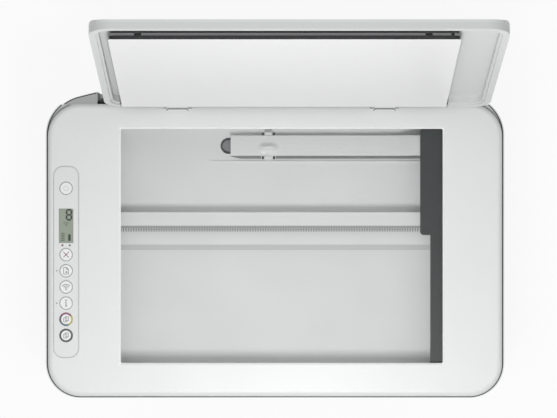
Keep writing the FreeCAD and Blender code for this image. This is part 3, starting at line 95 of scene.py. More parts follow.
class Finish:
    """A procedural surface: one Principled shader and the nodes that feed it."""

    def __init__(self, name, **sockets):
        self.material = bpy.data.materials.new(name)
        self.material.use_nodes = True
        self.tree = self.material.node_tree
        self.shader = self.tree.nodes["Principled BSDF"]
        for label, value in sockets.items():
            self.feed(label.replace("_", " ").title(), value)

    def feed(self, label, value):
        """Set a socket of the shader to a value, or link it."""
        socket = self.shader.inputs[label]
        if isinstance(value, Value):
            self.tree.links.new(value.socket, socket)
        else:
            socket.default_value = value

    def node(self, kind, settings, sockets, output=0):
        """Add a node of any kind: its settings first, then the values or links of its sockets."""
        made = self.tree.nodes.new(kind)
        for label, setting in settings.items():
            setattr(made, label, setting)
        for label, value in sockets.items():
            if isinstance(value, Value):
                self.tree.links.new(value.socket, made.inputs[label])
            else:
                made.inputs[label].default_value = value
        return Value(self, made.outputs[output])

    def place(self, stretch=(1, 1, 1)):
        """The place of a point on the object, stretched along the axes."""
        spot = self.node("ShaderNodeTexCoord", {}, {}, "Object")
        return self.node("ShaderNodeMapping", {}, {"Vector": spot, "Scale": stretch})

    def axis(self, name):
        """One coordinate of that place."""
        return self.node("ShaderNodeSeparateXYZ", {}, {0: self.place()}, name)

    def noise(self, size, detail=2.0, stretch=(1, 1, 1)):
        """Cloudy noise whose blotches are about `size` metres across."""
        return self.node("ShaderNodeTexNoise", {},
                         {"Vector": self.place(stretch), "Scale": 1 / size, "Detail": detail})

    def layer(self, mask, under, color):
        """Paint one colour over another tint where the mask is 1."""
        sockets = {0: mask, MIX_UNDER: under, MIX_OVER: (*color, 1)}
        return self.node("ShaderNodeMix", {"data_type": "RGBA"}, sockets, MIX_RESULT)

    def tint(self, mask, low, high):
        """Go from one colour to another as the mask goes from 0 to 1."""
        return self.layer(mask, (*low, 1), high)

    def coat(self, tone):
        """Set the base colour, and keep it for later coats."""
        self.tone = tone
        self.feed("Base Color", tone)

    def paint(self, mask, color):
        """Cover the base colour with another where the mask is 1."""
        self.coat(self.layer(mask, self.tone, color))

    def between(self, axis, first, last):
        """1 between two places along an axis."""
        place = self.axis(axis)
        return (place > first) * (place < last)

    def gloss(self, mask, roughness, spread):
        """Let the roughness swing about a middle value with the mask."""
        self.feed("Roughness", mask * spread + (roughness - spread / 2))

    def relief(self, height, depth):
        """Shade the surface as if the height stood out from it by a depth."""
        self.feed("Normal", self.node("ShaderNodeBump", {}, {"Height": height, "Distance": depth}))


def drift(color, spread):
    """Two tones a little darker and a little lighter than a colour."""
    return tuple(c * (1 - spread) for c in color), tuple(min(1, c * (1 + spread)) for c in color)


def moulded(name, color, roughness, grain=0.9 * MM, depth=0.02 * MM, spread=0.025):
    """Injection moulded plastic: slow tone drift, spark-eroded grain and uneven gloss."""
    finish = Finish(name)
    cloud = finish.noise(TONE_CLOUD)
    fine = finish.noise(grain, detail=3)
    finish.coat(finish.tint(cloud, *drift(color, spread)))
    finish.gloss(fine, roughness, spread=0.12)
    finish.relief(fine, depth)
    return finish


def rubber(name, color):
    """Soft rubber: dull, dusty and slightly pebbled."""
    finish = Finish(name)
    dust = finish.noise(6 * MM, detail=5)
    finish.feed("Base Color", finish.tint(dust, *drift(color, spread=0.3)))
    finish.gloss(dust, roughness=0.75, spread=0.2)
    finish.relief(finish.noise(0.6 * MM), depth=0.04 * MM)
    return finish


def wear(finish, *names):
    """Give CAD nodes a finish."""
    for name in names:
        mesh = frame["nodes"][name].data
        mesh.materials.clear()
        mesh.materials.append(finish.material)


TUB_GREY = (0.60, 0.61, 0.62)
FOOT_BLACK = (0.030, 0.030, 0.032)
wear(moulded("tub_plastic", TUB_GREY, roughness=0.55), "base_tub")
wear(rubber("foot_rubber", FOOT_BLACK), "feet")

# Case screws. Zinc plated self-tapping screws with shallow pan heads go up through the tub
# into the bosses of the housing.


def plated(name, color, roughness, stretch=(1, 1, 1)):
    """Plated steel: fine drawn streaks along the stretched axis and cloudy plating."""
    finish = Finish(name, metallic=1.0)
    cloud = finish.noise(12 * MM, detail=4)
    streak = finish.noise(1.2 * MM, detail=4, stretch=stretch)
    finish.feed("Base Color", finish.tint(cloud, *drift(color, spread=0.08)))
    finish.gloss(streak, roughness, spread=0.2)
    finish.relief(streak, depth=0.01 * MM)
    return finish


ZINC = (0.62, 0.63, 0.65)
wear(plated("screw_zinc", ZINC, roughness=0.35), "housing_screws")

# Main housing and front door. The housing is the white outer shell, moulded in satin plastic with
# a bowed back. The door covers the cartridges and turns on pins at its lower edge.
CASE_WHITE = (0.80, 0.81, 0.81)
case_plastic = moulded("case_plastic", CASE_WHITE, roughness=0.42)
wear(case_plastic, "main_housing", "access_door")

# Output tray and its extender. Two flat plates slide in the tub's rails and stop printed sheets.
# Both are textured so that paper doesn't cling.
TRAY_GREY = (0.52, 0.53, 0.54)
tray_plastic = moulded("tray_plastic", TRAY_GREY, roughness=0.5, grain=1.4 * MM, depth=0.05 * MM)
wear(tray_plastic, "output_tray", "output_extender")

# Print engine frame. Black side frames stand in the tub and carry the rollers. The ribbed platen,
# the chute and the star wheel bar lie between them.
FRAME_BLACK = (0.022, 0.022, 0.024)
PLATEN_GREY = (0.055, 0.056, 0.060)
wear(moulded("frame_plastic", FRAME_BLACK, roughness=0.55, spread=0.15), "side_frames")
wear(moulded("platen_plastic", PLATEN_GREY, roughness=0.5, spread=0.1), "print_platen", "star_wheel_bar")
wear(moulded("chute_plastic", TUB_GREY, roughness=0.5), "rear_chute")

# Rollers and gear train. Ground steel shafts carry rubber tyres, and acetal gears at their left
# ends bring the motor's turn from roller to roller.
GEAR_IVORY = (0.68, 0.66, 0.58)
SHAFT_STEEL = (0.60, 0.61, 0.62)
TYRE_GREY = (0.075, 0.076, 0.080)
SHAFT_ROUGHNESS = 0.325
GEAR_DULLER = 0.15
FRAME_MARGIN = 1 * MM


def geared_shaft(name):
    """A steel shaft whose left end, outside the frame, is an acetal gear."""
    finish = Finish(name)
    outside = finish.axis("X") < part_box("side_frames")[0].x - FRAME_MARGIN
    streak = finish.noise(1.0 * MM, detail=4, stretch=(1, 8, 8))
    steel = finish.tint(streak, *drift(SHAFT_STEEL, spread=0.08))
    finish.feed("Base Color", finish.layer(outside, steel, GEAR_IVORY))
    finish.feed("Metallic", 1 - outside)
    finish.gloss(streak, SHAFT_ROUGHNESS + outside * GEAR_DULLER, spread=0.15)
    return finish


wear(geared_shaft("shaft_steel"), "feed_shaft", "exit_shaft", "pickup_shaft")
gear_acetal = moulded("gear_acetal", GEAR_IVORY, roughness=0.38, spread=0.05)
wear(gear_acetal, "idler_gear", "feed_pinion", "scan_pinion", "star_wheels", "pinch_rollers")
wear(rubber("tyre_rubber", TYRE_GREY), "feed_tyres", "exit_tyres", "pickup_tyre")

# Carriage drive. A folded steel rail spans the case, and a toothed belt runs over two pulleys
# on it, one of them on the shaft of a canned motor.
RAIL_STEEL = (0.55, 0.56, 0.58)
BELT_BLACK = (0.018, 0.018, 0.020)
BELT_PITCH = 2.0 * MM
WAVE_SCALE = 0.314  # the wave texture's scale for one band in a unit, 2 pi / 20


def stripes(finish, pitch, direction):
    """A sine wave across one axis, one crest for each pitch."""
    return finish.node("ShaderNodeTexWave", {"bands_direction": direction},
                       {"Vector": finish.place(), "Scale": WAVE_SCALE / pitch})


wear(plated("rail_steel", RAIL_STEEL, roughness=0.32, stretch=(0.05, 1, 1)), "carriage_rail")
wear(plated("motor_can", ZINC, roughness=0.28, stretch=(1, 1, 0.1)), "drive_motors")
wear(gear_acetal, "motor_pulley", "idler_pulley")
belt_rubber = Finish("belt_rubber", roughness=0.7)
belt_teeth = stripes(belt_rubber, BELT_PITCH, "X")
belt_rubber.feed("Base Color", belt_rubber.tint(belt_teeth, *drift(BELT_BLACK, spread=0.3)))
belt_rubber.relief(belt_teeth, depth=0.3 * MM)
wear(belt_rubber, "carriage_belt")

# Print carriage and cartridges. The black carriage hooks over the rail and holds two cartridges.
# Their caps tell the inks apart, plain grey for black ink and three bands for the colours.
CARRIAGE_BLACK = (0.028, 0.028, 0.030)
CAP_GREY = (0.20, 0.20, 0.21)
INK_CYAN = (0.02, 0.36, 0.56)
INK_MAGENTA = (0.52, 0.04, 0.24)
INK_YELLOW = (0.80, 0.62, 0.05)
CAP_DEPTH = 9 * MM
wear(moulded("carriage_plastic", CARRIAGE_BLACK, roughness=0.45, spread=0.15), "print_carriage")


def cartridge_finish(name, node, bands):
    """Black tank plastic whose top cap is painted in bands from left to right."""
    low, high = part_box(node)
    finish = Finish(name)
    fine = finish.noise(0.8 * MM, detail=3)
    cap = finish.axis("Z") > high.z - CAP_DEPTH
    color = finish.tint(fine, *drift(CARRIAGE_BLACK, spread=0.2))
    for step, band in enumerate(bands):
        edge = low.x + (high.x - low.x) * step / len(bands)
        color = finish.layer(cap * (finish.axis("X") > edge), color, band)
    finish.feed("Base Color", color)
    finish.gloss(fine, roughness=0.425, spread=0.15)
    finish.relief(fine, depth=0.015 * MM)
    return finish


wear(cartridge_finish("black_ink_tank", "black_cartridge", [CAP_GREY]), "black_cartridge")
color_bands = [INK_CYAN, INK_MAGENTA, INK_YELLOW]
wear(cartridge_finish("color_ink_tank", "color_cartridge", color_bands), "color_cartridge")

# Service station. A sled under the parked carriage with two rubber lipped caps that seal
# the nozzles, stained a little by ink.
STATION_GREYS = ((0.05, 0.05, 0.06), (0.12, 0.12, 0.13))
LIP_HEIGHT = 3.2 * MM
station_plastic = Finish("station_plastic")
stain = station_plastic.noise(9 * MM, detail=4)
lips = station_plastic.axis("Z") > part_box("service_station")[1].z - LIP_HEIGHT
station_tone = station_plastic.tint(stain, *STATION_GREYS)
station_plastic.feed("Base Color", station_plastic.layer(lips, station_tone, FOOT_BLACK))
station_plastic.gloss(stain, roughness=0.55, spread=0.2)
wear(station_plastic, "service_station")

# Electronics. Green boards with dark chips on them, a black power brick and two sockets
# at the back for the data and mains leads.
BOARD_GREEN = (0.015, 0.085, 0.040)
CHIP_BLACK = (0.012, 0.012, 0.013)
BOARD_SHEET = 1.6 * MM
BOARD_MARGIN = 0.1 * MM
TRACK_SCALE = 120.0
TRACK_WIDTH = 0.03
TRACK_GLINT = 1.8


def circuit_board(name, board_top):
    """Solder mask with faint copper tracks; what stands above the sheet is dark chips."""
    finish = Finish(name, coat_weight=0.3)
    layout = {"Vector": finish.place(), "Scale": TRACK_SCALE, "Mortar Size": TRACK_WIDTH}
    tracks = finish.node("ShaderNodeTexBrick", {"offset": 0.37, "squash": 1.7}, layout, "Fac")
    mask = finish.tint(tracks, BOARD_GREEN, tuple(TRACK_GLINT * c for c in BOARD_GREEN))
    parts = finish.axis("Z") > board_top
    finish.feed("Base Color", finish.layer(parts, mask, CHIP_BLACK))
    finish.gloss(tracks, roughness=0.35, spread=0.1)
    finish.relief(tracks, depth=0.03 * MM)
    return finish


usb_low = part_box("usb_port")[0]
control_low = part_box("control_board")[0]
wear(circuit_board("main_board_mask", usb_low.z + BOARD_MARGIN), "main_board")
wear(circuit_board("control_board_mask", control_low.z + BOARD_SHEET + BOARD_MARGIN), "control_board")
socket_black = moulded("socket_plastic", FRAME_BLACK, roughness=0.4, spread=0.15)
wear(socket_black, "usb_port", "power_inlet", "power_supply")

# Input tray at the back. A wide panel leans back on two pins, with an extension behind it
# and a guide that slides in its slot to meet the paper's edge.
wear(case_plastic, "input_tray", "input_extension")
wear(moulded("guide_plastic", TUB_GREY, roughness=0.5), "width_guide")

# Scanner bed. A deep grey tray under the glass with a raised ledge for the rack, moulded in matt
# plastic. The kerb, the bed between the rack's teeth, the teeth's sides and ticks before the teeth
# are painted dark as painted shade.
BED_GREY = (0.82, 0.83, 0.83)
KERB_SHADE_GREY = (0.62, 0.63, 0.63)
RACK_SHADE_GREY = (0.36, 0.36, 0.365)
TOOTH_SHADE_GREY = (0.06, 0.06, 0.062)
KERB_REACH = (22.6 * MM, 17.5 * MM)
TOOTH_HEIGHT = 1.24 * MM
TOOTH_MODULE = 0.75 * MM
TOOTH_TOP = 0.1 * MM
FIRST_GAP = 0.64 * MM
TICK_SHADE_REACH = 2.0 * MM
TICK_SHADE_GREY = (0.40, 0.40, 0.405)


def matt(name):
    """The bed's matt grained plastic."""
    return moulded(name, BED_GREY, roughness=0.5, grain=2.0 * MM, depth=0.03 * MM, spread=0.05)


rack_low, rack_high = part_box("scan_rack")
tooth_root = rack_low.y + TOOTH_HEIGHT
bed_plastic = matt("bed_plastic")
# The kerb band is painted darker: painted shade of the groove.
kerb = bed_plastic.between("Y", *(rack_high.y - reach for reach in KERB_REACH))
bed_plastic.paint(kerb, KERB_SHADE_GREY)
# The bed under the gaps between the teeth is painted dark: painted shade.
bed_plastic.paint(bed_plastic.between("Y", rack_low.y, tooth_root), TOOTH_SHADE_GREY)
# Dark ticks at the teeth's pitch in front of the rack: painted shade of the teeth.
rolled = (bed_plastic.axis("X") - FIRST_GAP) * (2 / TOOTH_MODULE)
gaps = bed_plastic.node("ShaderNodeMath", {"operation": "COSINE"}, {0: rolled}) > 0
tick_shade = bed_plastic.between("Y", rack_low.y - TICK_SHADE_REACH, rack_low.y) * gaps
bed_plastic.paint(tick_shade, TICK_SHADE_GREY)
wear(bed_plastic, "scanner_base")
rack_acetal = matt("rack_acetal")
# The strip behind the teeth is painted dark: painted shadow between ledge and rack.
rack_acetal.paint(rack_acetal.axis("Y") > tooth_root, RACK_SHADE_GREY)
# The teeth below their tops are painted dark: painted shade on their sides.
rack_acetal.paint(rack_acetal.axis("Z") < rack_high.z - TOOTH_TOP, TOOTH_SHADE_GREY)
wear(rack_acetal, "scan_rack")

# Scan bar. A dark moulded carriage that spans the glass and is drawn along the rack. A strip of
# dark glass over the sensor is let into its top.
BAR_GREY = (0.026, 0.027, 0.028)
SENSOR_GREY = (0.045, 0.046, 0.050)
wear(moulded("bar_plastic", BAR_GREY, roughness=0.42, spread=0.12), "scan_carriage")
sensor_glass = Finish("sensor_glass", coat_weight=1.0)
sensor_line = sensor_glass.noise(3 * MM, detail=1, stretch=(4, 0.02, 1))
sensor_glass.feed("Base Color", sensor_glass.tint(sensor_line, *drift(SENSOR_GREY, spread=0.4)))
sensor_glass.gloss(sensor_line, roughness=0.105, spread=0.05)
wear(sensor_glass, "sensor_bar")

# Scan ribbon. A flat flexible cable of parallel conductors in white film. It is clipped to the
# bed at its left end and rises at the right to the underside of the scan bar.
RIBBON_WHITE = (0.82, 0.83, 0.82)
RIBBON_LIFT = 9.2 * MM
RIBBON_TUCK = 3.0 * MM
RIBBON_SAG = 0.3 * MM
SAG_WAVES = 3
RAMP_START = 0.86
RAMP_SHARE = 0.12
RIBBON_STEPS = (160, 24)
BULGE_PLACE = -6.2 * MM
BULGE_SHIFT = -1.4 * MM
BULGE_HALF = (7.0 * MM, 2.6 * MM)
BULGE_RISE = 3.4 * MM
CONDUCTOR_PITCH = 1.25 * MM


def grid_faces(rows, columns, closed_rows=False, closed_columns=False):
    """Quads between neighbouring points of a grid, row by row."""
    down = np.arange(rows if closed_rows else rows - 1)[:, None]
    along = np.arange(columns if closed_columns else columns - 1)[None, :]
    first, second = down * columns, (down + 1) % rows * columns
    after = (along + 1) % columns
    corners = [first + along, first + after, second + after, second + along]
    return np.stack(np.broadcast_arrays(*corners), axis=-1).reshape(-1, 4)


def add_piece(name, points, faces, finish, body):
    """Put a surface into the scene as a piece that rides on a body."""
    mesh = bpy.data.meshes.new(name)
    mesh.from_pydata(points.reshape(-1, 3).tolist(), [], [list(map(int, face)) for face in faces])
    mesh.materials.append(finish.material)
    mesh.validate()
    made = bpy.data.objects.new(name, mesh)
    bpy.context.scene.collection.objects.link(made)
    if body:
        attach(made, body)
    return made


def closed_strip(rings):
    """Faces of a tube through equal rings of points, with both ends shut."""
    count, ring = rings.shape[:2]
    sides = grid_faces(count, ring, closed_columns=True)
    ends = [np.arange(ring)[::-1], np.arange(ring) + (count - 1) * ring]
    return [*sides, *ends]


ribbon_low, ribbon_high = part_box("scan_ribbon")
ribbon_y = (ribbon_low.y + ribbon_high.y) / 2
travel = np.linspace(0, 1, RIBBON_STEPS[0])[:, None]
breadth = np.linspace(ribbon_low.y, ribbon_high.y, RIBBON_STEPS[1])[None, :]
ribbon_x = ribbon_low.x + (ribbon_high.x + RIBBON_TUCK - ribbon_low.x) * travel
ramp = np.clip((travel - RAMP_START) / RAMP_SHARE, 0, 1)
lift = RIBBON_LIFT * ramp ** 2 * (3 - 2 * ramp)
sag = RIBBON_SAG * np.sin(SAG_WAVES * math.pi * travel) ** 2
along_bulge = (ribbon_x - BULGE_PLACE) / BULGE_HALF[0]
across_bulge = (breadth - ribbon_y - BULGE_SHIFT) / BULGE_HALF[1]
bulge = BULGE_RISE * np.exp(-along_bulge ** 4 - across_bulge ** 2)
ribbon_z = ribbon_low.z + lift + sag + bulge
ribbon_under = np.stack(np.broadcast_arrays(ribbon_x, breadth, ribbon_z), axis=-1)
ribbon_over = ribbon_under[:, ::-1] + (0, 0, ribbon_high.z - ribbon_low.z)
ribbon_rings = np.concatenate([ribbon_under, ribbon_over], axis=1)
ribbon_film = Finish("ribbon_film", coat_weight=0.2)
conductors = stripes(ribbon_film, CONDUCTOR_PITCH, "Y")
ribbon_film.feed("Base Color", ribbon_film.tint(conductors, *drift(RIBBON_WHITE, spread=0.06)))
ribbon_film.gloss(conductors, roughness=0.4, spread=0.1)
ribbon_film.relief(conductors, depth=0.05 * MM)
ribbon = add_piece("flat_ribbon", ribbon_rings, closed_strip(ribbon_rings), ribbon_film, None)
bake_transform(ribbon)
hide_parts("scan_ribbon")

# Ribbon dressing. Dark grey strips lie along the ribbon's front edge on both sides of its clip as
# painted shadow of the raised ribbon, and a grey rubber plug closes the hole through which the
# ribbon leaves the bed; the plug's dark rim is painted shade of the hole's wall.
SHADOW_STRIP_GREY = (0.30, 0.30, 0.305)
PLUG_GREY = (0.27, 0.27, 0.28)
HOLE_WALL_SHADE = (0.07, 0.07, 0.075)
SHADOW_STRIP_SIZE = (2.2 * MM, 1.6 * MM)
SHADOW_STRIP_CLEAR = 0.4 * MM
SHADOW_STRIP_SLANT = 9 * MM
CLIP_HALF = 7 * MM
PLUG_HALF = (8.4 * MM, 6.8 * MM)
PLUG_RIM = 0.78
PLUG_SHIFT = 1.2 * MM
PLUG_DROP = 1.2 * MM
PLUG_ROOT = 2 * MM
PLUG_STEPS = 64
RIBBON_CLEAR = 6 * MM
bed_top = ribbon_low.z - RIBBON_CLEAR


def bar_rings(low, high, taper):
    """A straight bar along X between two corners; its left end is cut at a slant."""
    corners = [(low[1], low[2]), (high[1], low[2]), (high[1], high[2]), (low[1], high[2])]
    left = [(low[0] + taper * (y == low[1]), y, z) for y, z in corners]
    right = [(high[0], y, z) for y, z in corners]
    return np.array([left, right])


shadow_strip_rubber = rubber("shadow_strip_rubber", SHADOW_STRIP_GREY)
shadow_strip_rear = ribbon_low.y - SHADOW_STRIP_CLEAR
shadow_strip_runs = {"left": (ribbon_low.x, BULGE_PLACE - CLIP_HALF, SHADOW_STRIP_SLANT),
             "right": (BULGE_PLACE + CLIP_HALF, ribbon_high.x + RIBBON_TUCK, 0.0)}
# Each strip is a dark sheet laid where the ribbon's shadow falls: painted shadow.
for side, (first, last, slant) in shadow_strip_runs.items():
    shadow_strip_rings = bar_rings((first, shadow_strip_rear - SHADOW_STRIP_SIZE[0], bed_top),
                           (last, shadow_strip_rear, bed_top + SHADOW_STRIP_SIZE[1]), slant)
    add_piece("ribbon_shadow_strip_" + side, shadow_strip_rings, closed_strip(shadow_strip_rings), shadow_strip_rubber, "case")
plug_mid = (ribbon_low.x - PLUG_SHIFT, ribbon_y)
plug_turn = np.linspace(0, 2 * math.pi, PLUG_STEPS, endpoint=False)
plug_ring = np.stack([plug_mid[0] + PLUG_HALF[0] * np.cos(plug_turn),
                      plug_mid[1] + PLUG_HALF[1] * np.sin(plug_turn),
                      np.full(PLUG_STEPS, bed_top - PLUG_ROOT)], axis=-1)
plug_rings = np.stack([plug_ring, plug_ring + (0, 0, PLUG_ROOT - PLUG_DROP)])
plug_rubber = Finish("plug_rubber", roughness=0.75)
plug_x = (plug_rubber.axis("X") - plug_mid[0]) * (1 / PLUG_HALF[0])
plug_y = (plug_rubber.axis("Y") - plug_mid[1]) * (1 / PLUG_HALF[1])
# The plug's outer rim is painted dark: painted shade of the hole's wall.
plug_rim_shade = (plug_x * plug_x + plug_y * plug_y) > PLUG_RIM ** 2
plug_dust = plug_rubber.tint(plug_rubber.noise(6 * MM, detail=5), *drift(PLUG_GREY, spread=0.3))
plug_rubber.feed("Base Color", plug_rubber.layer(plug_rim_shade, plug_dust, HOLE_WALL_SHADE))
add_piece("cable_plug", plug_rings, closed_strip(plug_rings), plug_rubber, "case")

# Scanner housing and glass. The white bezel is screwed down over the bed, and the clear sheet
# is glued under its window. The window's edge is painted paler as a painted highlight.
GLASS_TINT = (0.16, 0.20, 0.19)
EDGE_HIGHLIGHT_WHITE = (0.96, 0.96, 0.96)
WINDOW_LAP = 4.7 * MM
bezel_plastic = moulded("bezel_plastic", CASE_WHITE, roughness=0.38)
glass_low, glass_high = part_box("platen_glass")
window_x = bezel_plastic.between("X", glass_low.x + WINDOW_LAP, glass_high.x - WINDOW_LAP)
window_y = bezel_plastic.between("Y", glass_low.y + WINDOW_LAP, glass_high.y - WINDOW_LAP)
# The band round the window is painted paler: a painted highlight on its edge.
bezel_plastic.paint(window_x * window_y, EDGE_HIGHLIGHT_WHITE)
wear(bezel_plastic, "scanner_bezel")
clear_glass = Finish("clear_glass", base_color=(*GLASS_TINT, 1), alpha=0.06)
smudge = clear_glass.noise(40 * MM, detail=4)
clear_glass.gloss(smudge, roughness=0.04, spread=0.04)
wear(clear_glass, "platen_glass")

# Control strip. A satin plate set flush in the bezel, ringed by a fine grey line, with seven
# round buttons and a small display. Signs are printed on as thin raised ink.
PANEL_WHITE = (0.78, 0.79, 0.79)
PANEL_CORNER = 9.0
LINE_INSET = 0.6
BUTTONS = ["power_button", "cancel_button", "resume_button", "wireless_button", "info_button",
           "color_copy_button", "black_copy_button"]
BUTTON_WHITE = (0.87, 0.88, 0.88)
BUTTON_RING = 6.1
CAP_RING = 5.0
CROSS_HALF = 2.6
WAVE_SPREAD = (40, 140)
LAMP_INSET = 3.0 * MM
LAMP_DOT = 0.3
INK_GREY = (0.17, 0.17, 0.18)
INK_RED = (0.22, 0.055, 0.080)
INK_DARK = (0.045, 0.045, 0.050)
INK_LINE = (0.61, 0.62, 0.62)
INK_RING = (0.41, 0.41, 0.42)
INK_PALE = (0.62, 0.63, 0.63)
COPY_ARCS = {"cyan": ((0.10, 0.19, 0.23), 205, 295), "magenta": ((0.30, 0.08, 0.17), 35, 135),
             "yellow": ((0.60, 0.54, 0.12), 295, 395), "grey": ((0.12, 0.07, 0.10), 135, 205)}
SIGN_RISE = 0.05 * MM
SIGN_ROOT = 0.03 * MM
MITRE_LIMIT = 0.4
ARC_STEPS = 48


def ink(name, color):
    """Printed ink: an even film with slight mottling."""
    finish = Finish(name)
    mottle = finish.noise(0.5 * MM)
    finish.feed("Base Color", finish.tint(mottle, *drift(color, spread=0.1)))
    finish.gloss(mottle, roughness=0.45, spread=0.1)
    return finish


def ring(radius, first=0.0, last=360.0):
    """Points on a circle about the sign's centre between two angles, in millimetres."""
    angle = np.radians(np.linspace(first, last, ARC_STEPS))
    return radius * np.stack([np.cos(angle), np.sin(angle)], axis=-1)


def run(*corners):
    """A straight-edged line through its corners, in millimetres."""
    return np.array(corners, float)


def rounded_path(half_x, half_y, radius):
    """A closed round-cornered rectangle about the centre, in millimetres."""
    corners = [(half_x - radius, half_y - radius, 0), (radius - half_x, half_y - radius, 90),
               (radius - half_x, radius - half_y, 180), (half_x - radius, radius - half_y, 270)]
    bends = [ring(radius, turn, turn + 90) + (x, y) for x, y, turn in corners]
    return np.vstack([*bends, bends[0][:1]])


def wireless_waves(radii, dot, drop):
    """Arcs about a dot, all moved down by a drop, in millimetres."""
    return [*(ring(radius, *WAVE_SPREAD) - (0, drop) for radius in radii), ring(dot) - (0, drop)]


def stroke(path, width):
    """Carry a thin rectangle along a flat path; its sides follow the path's mitred normals."""
    steps = np.diff(path, axis=0)
    steps /= np.linalg.norm(steps, axis=1, keepdims=True)
    shut = np.allclose(path[0], path[-1])
    before = np.vstack([steps[-1:] if shut else steps[:1], steps])
    after = np.vstack([steps, steps[:1] if shut else steps[-1:]])
    lean = before + after
    lean /= np.linalg.norm(lean, axis=1, keepdims=True)
    reach = width / 2 / np.clip((lean * after).sum(axis=1, keepdims=True), MITRE_LIMIT, 1)
    side = np.stack([-lean[:, 1], lean[:, 0]], axis=-1) * reach
    return path + side, path - side


def sign(name, spot, lines, finish, body, width):
    """Print one sign about a spot: each line is a thin strip standing just proud of the surface.
    A line that meets itself becomes a ring without ends."""
    points, faces, used = [], [], 0
    centre, surface = np.array(spot[:2]), spot[2]
    for line in lines:
        left, right = (side * MM + centre for side in stroke(line, width))
        low = np.full((len(line), 1), surface - SIGN_ROOT)
        high = np.full((len(line), 1), surface + SIGN_RISE)
        edges = [(right, low), (left, low), (left, high), (right, high)]
        rings = np.stack([np.hstack(edge) for edge in edges], axis=1)
        if np.allclose(line[0], line[-1]):
            rings = rings[:-1]
            strip = grid_faces(len(rings), len(edges), closed_rows=True, closed_columns=True)
        else:
            strip = closed_strip(rings)
        faces += [np.asarray(face) + used for face in strip]
        points.append(rings.reshape(-1, 3))
        used += rings.shape[0] * rings.shape[1]
    add_piece(name, np.vstack(points), faces, finish, body)


def top_middle(name):
    """The middle of a node's box, seen from above, and the height of its top."""
    low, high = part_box(name)
    return (low.x + high.x) / 2, (low.y + high.y) / 2, high.z


panel_low, panel_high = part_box("control_panel")
panel_spot = top_middle("control_panel")
button_spots = {label: top_middle(label) for label in BUTTONS}


def panel_sign(name, spot, lines, finish, width):
    """Print a sign on the plate."""
    sign(name, (*spot[:2], panel_high.z), lines, finish, "case", width)


def button_sign(label, part, lines, finish, width):
    """Print a sign on a button's cap."""
    sign(f"{label}_{part}", button_spots[label], lines, finish, label, width)


def copy_ring(label, hue, first, last, finish):
    """A thick printed ring, half of it on the button's rim and half on the plate round it."""
    button_sign(label, hue + "_rim", [ring(CAP_RING, first, last)], finish, width=0.9)
    plate_ring = ring(BUTTON_RING, first, last)
    panel_sign(f"{label}_{hue}_ring", button_spots[label], [plate_ring], finish, width=0.5)


grey_ink = ink("grey_ink", INK_GREY)
red_ink = ink("red_ink", INK_RED)
dark_ink = ink("dark_ink", INK_DARK)
ring_ink = ink("ring_ink", INK_RING)
wear(moulded("panel_plastic", PANEL_WHITE, roughness=0.34), "control_panel")
wear(moulded("button_plastic", BUTTON_WHITE, roughness=0.4), *BUTTONS)
panel_line = rounded_path((panel_high.x - panel_low.x) / 2 / MM - LINE_INSET,
                          (panel_high.y - panel_low.y) / 2 / MM - LINE_INSET, PANEL_CORNER - LINE_INSET)
panel_sign("panel_line", panel_spot, [panel_line], ink("line_ink", INK_LINE), width=0.5)
for label in BUTTONS:
    if "copy" not in label:
        panel_sign(label + "_ring", button_spots[label], [ring(BUTTON_RING)], ring_ink, width=0.4)
power_mark = [ring(2.2, 120, 420), run((0, 0.8), (0, 2.9))]
button_sign("power_button", "sign", power_mark, ink("pale_ink", INK_PALE), width=0.5)
cross = [run((-CROSS_HALF, -way * CROSS_HALF), (CROSS_HALF, way * CROSS_HALF)) for way in (1, -1)]
button_sign("cancel_button", "sign", cross, red_ink, width=0.6)
page = run((-2.2, -3), (2.2, -3), (2.2, 1.4), (0.6, 3), (-2.2, 3), (-2.2, -3))
page_fold = run((0.6, 3), (0.6, 1.4), (2.2, 1.4))
arrow = [run((-0.9, -1.2), (1.0, -1.2)), run((0.2, -0.2), (1.1, -1.2), (0.2, -2.1))]
button_sign("resume_button", "sign", [page, page_fold, *arrow], grey_ink, width=0.5)
button_waves = wireless_waves((1.6, 3.1, 4.6), dot=0.35, drop=2.2)
button_sign("wireless_button", "sign", button_waves, grey_ink, width=0.55)
letter = [run((0, -2.6), (0, 0.9)), run((-0.9, -2.6), (0.9, -2.6)), run((-0.9, 0.9), (0, 0.9))]
button_sign("info_button", "sign", [*letter, ring(0.35) + (0, 2.5)], grey_ink, width=0.7)
for hue, (color, first, last) in COPY_ARCS.items():
    copy_ring("color_copy_button", hue, first, last, ink(hue + "_copy_ink", color))
copy_ring("black_copy_button", "dark", 0, 360, dark_ink)
pages = [rounded_path(1.5, 1.9, 0.3) + shift for shift in ((-0.7, -0.5), (0.7, 0.5))]
for label in ("color_copy_button", "black_copy_button"):
    button_sign(label, "pages", pages, grey_ink, width=0.45)
for label in ("resume_button", "info_button"):
    lamp_spot = (panel_low.x + LAMP_INSET, button_spots[label][1])
    panel_sign(label + "_lamp", lamp_spot, [ring(LAMP_DOT)], grey_ink, width=0.6)

# Case seams. Dark strips laid in the groove round the scanner cover and along the rear deck's edge,
# and dark lines where the hinge brackets sit in the bezel, are painted shade in those seams. The back
# is a wide arc, and a round at each rear corner touches that arc and the side.
SEAM_SHADE_BLACK = (0.055, 0.056, 0.058)
COVER_HEIGHT = 9.0 * MM
COVER_GAP = 1.2
COVER_CORNER = 30.0
COVER_SIDE = 3.0
COVER_FRONT = 2.5
REAR_CORNER = 38.0
BOW_DEPTH = 31.36
SIDE_GAP = 1.8
DECK_INSET = 0.9
DECK_LAP = 0.6
NOTCH_X = 167.0
HINGES = {"left": -90.0, "right": 101.0}


def seam(name, spot, lines, finish, width):
    """Lay a dark line in a seam of the case, as painted shade."""
    sign(name, spot, lines, finish, "case", width)


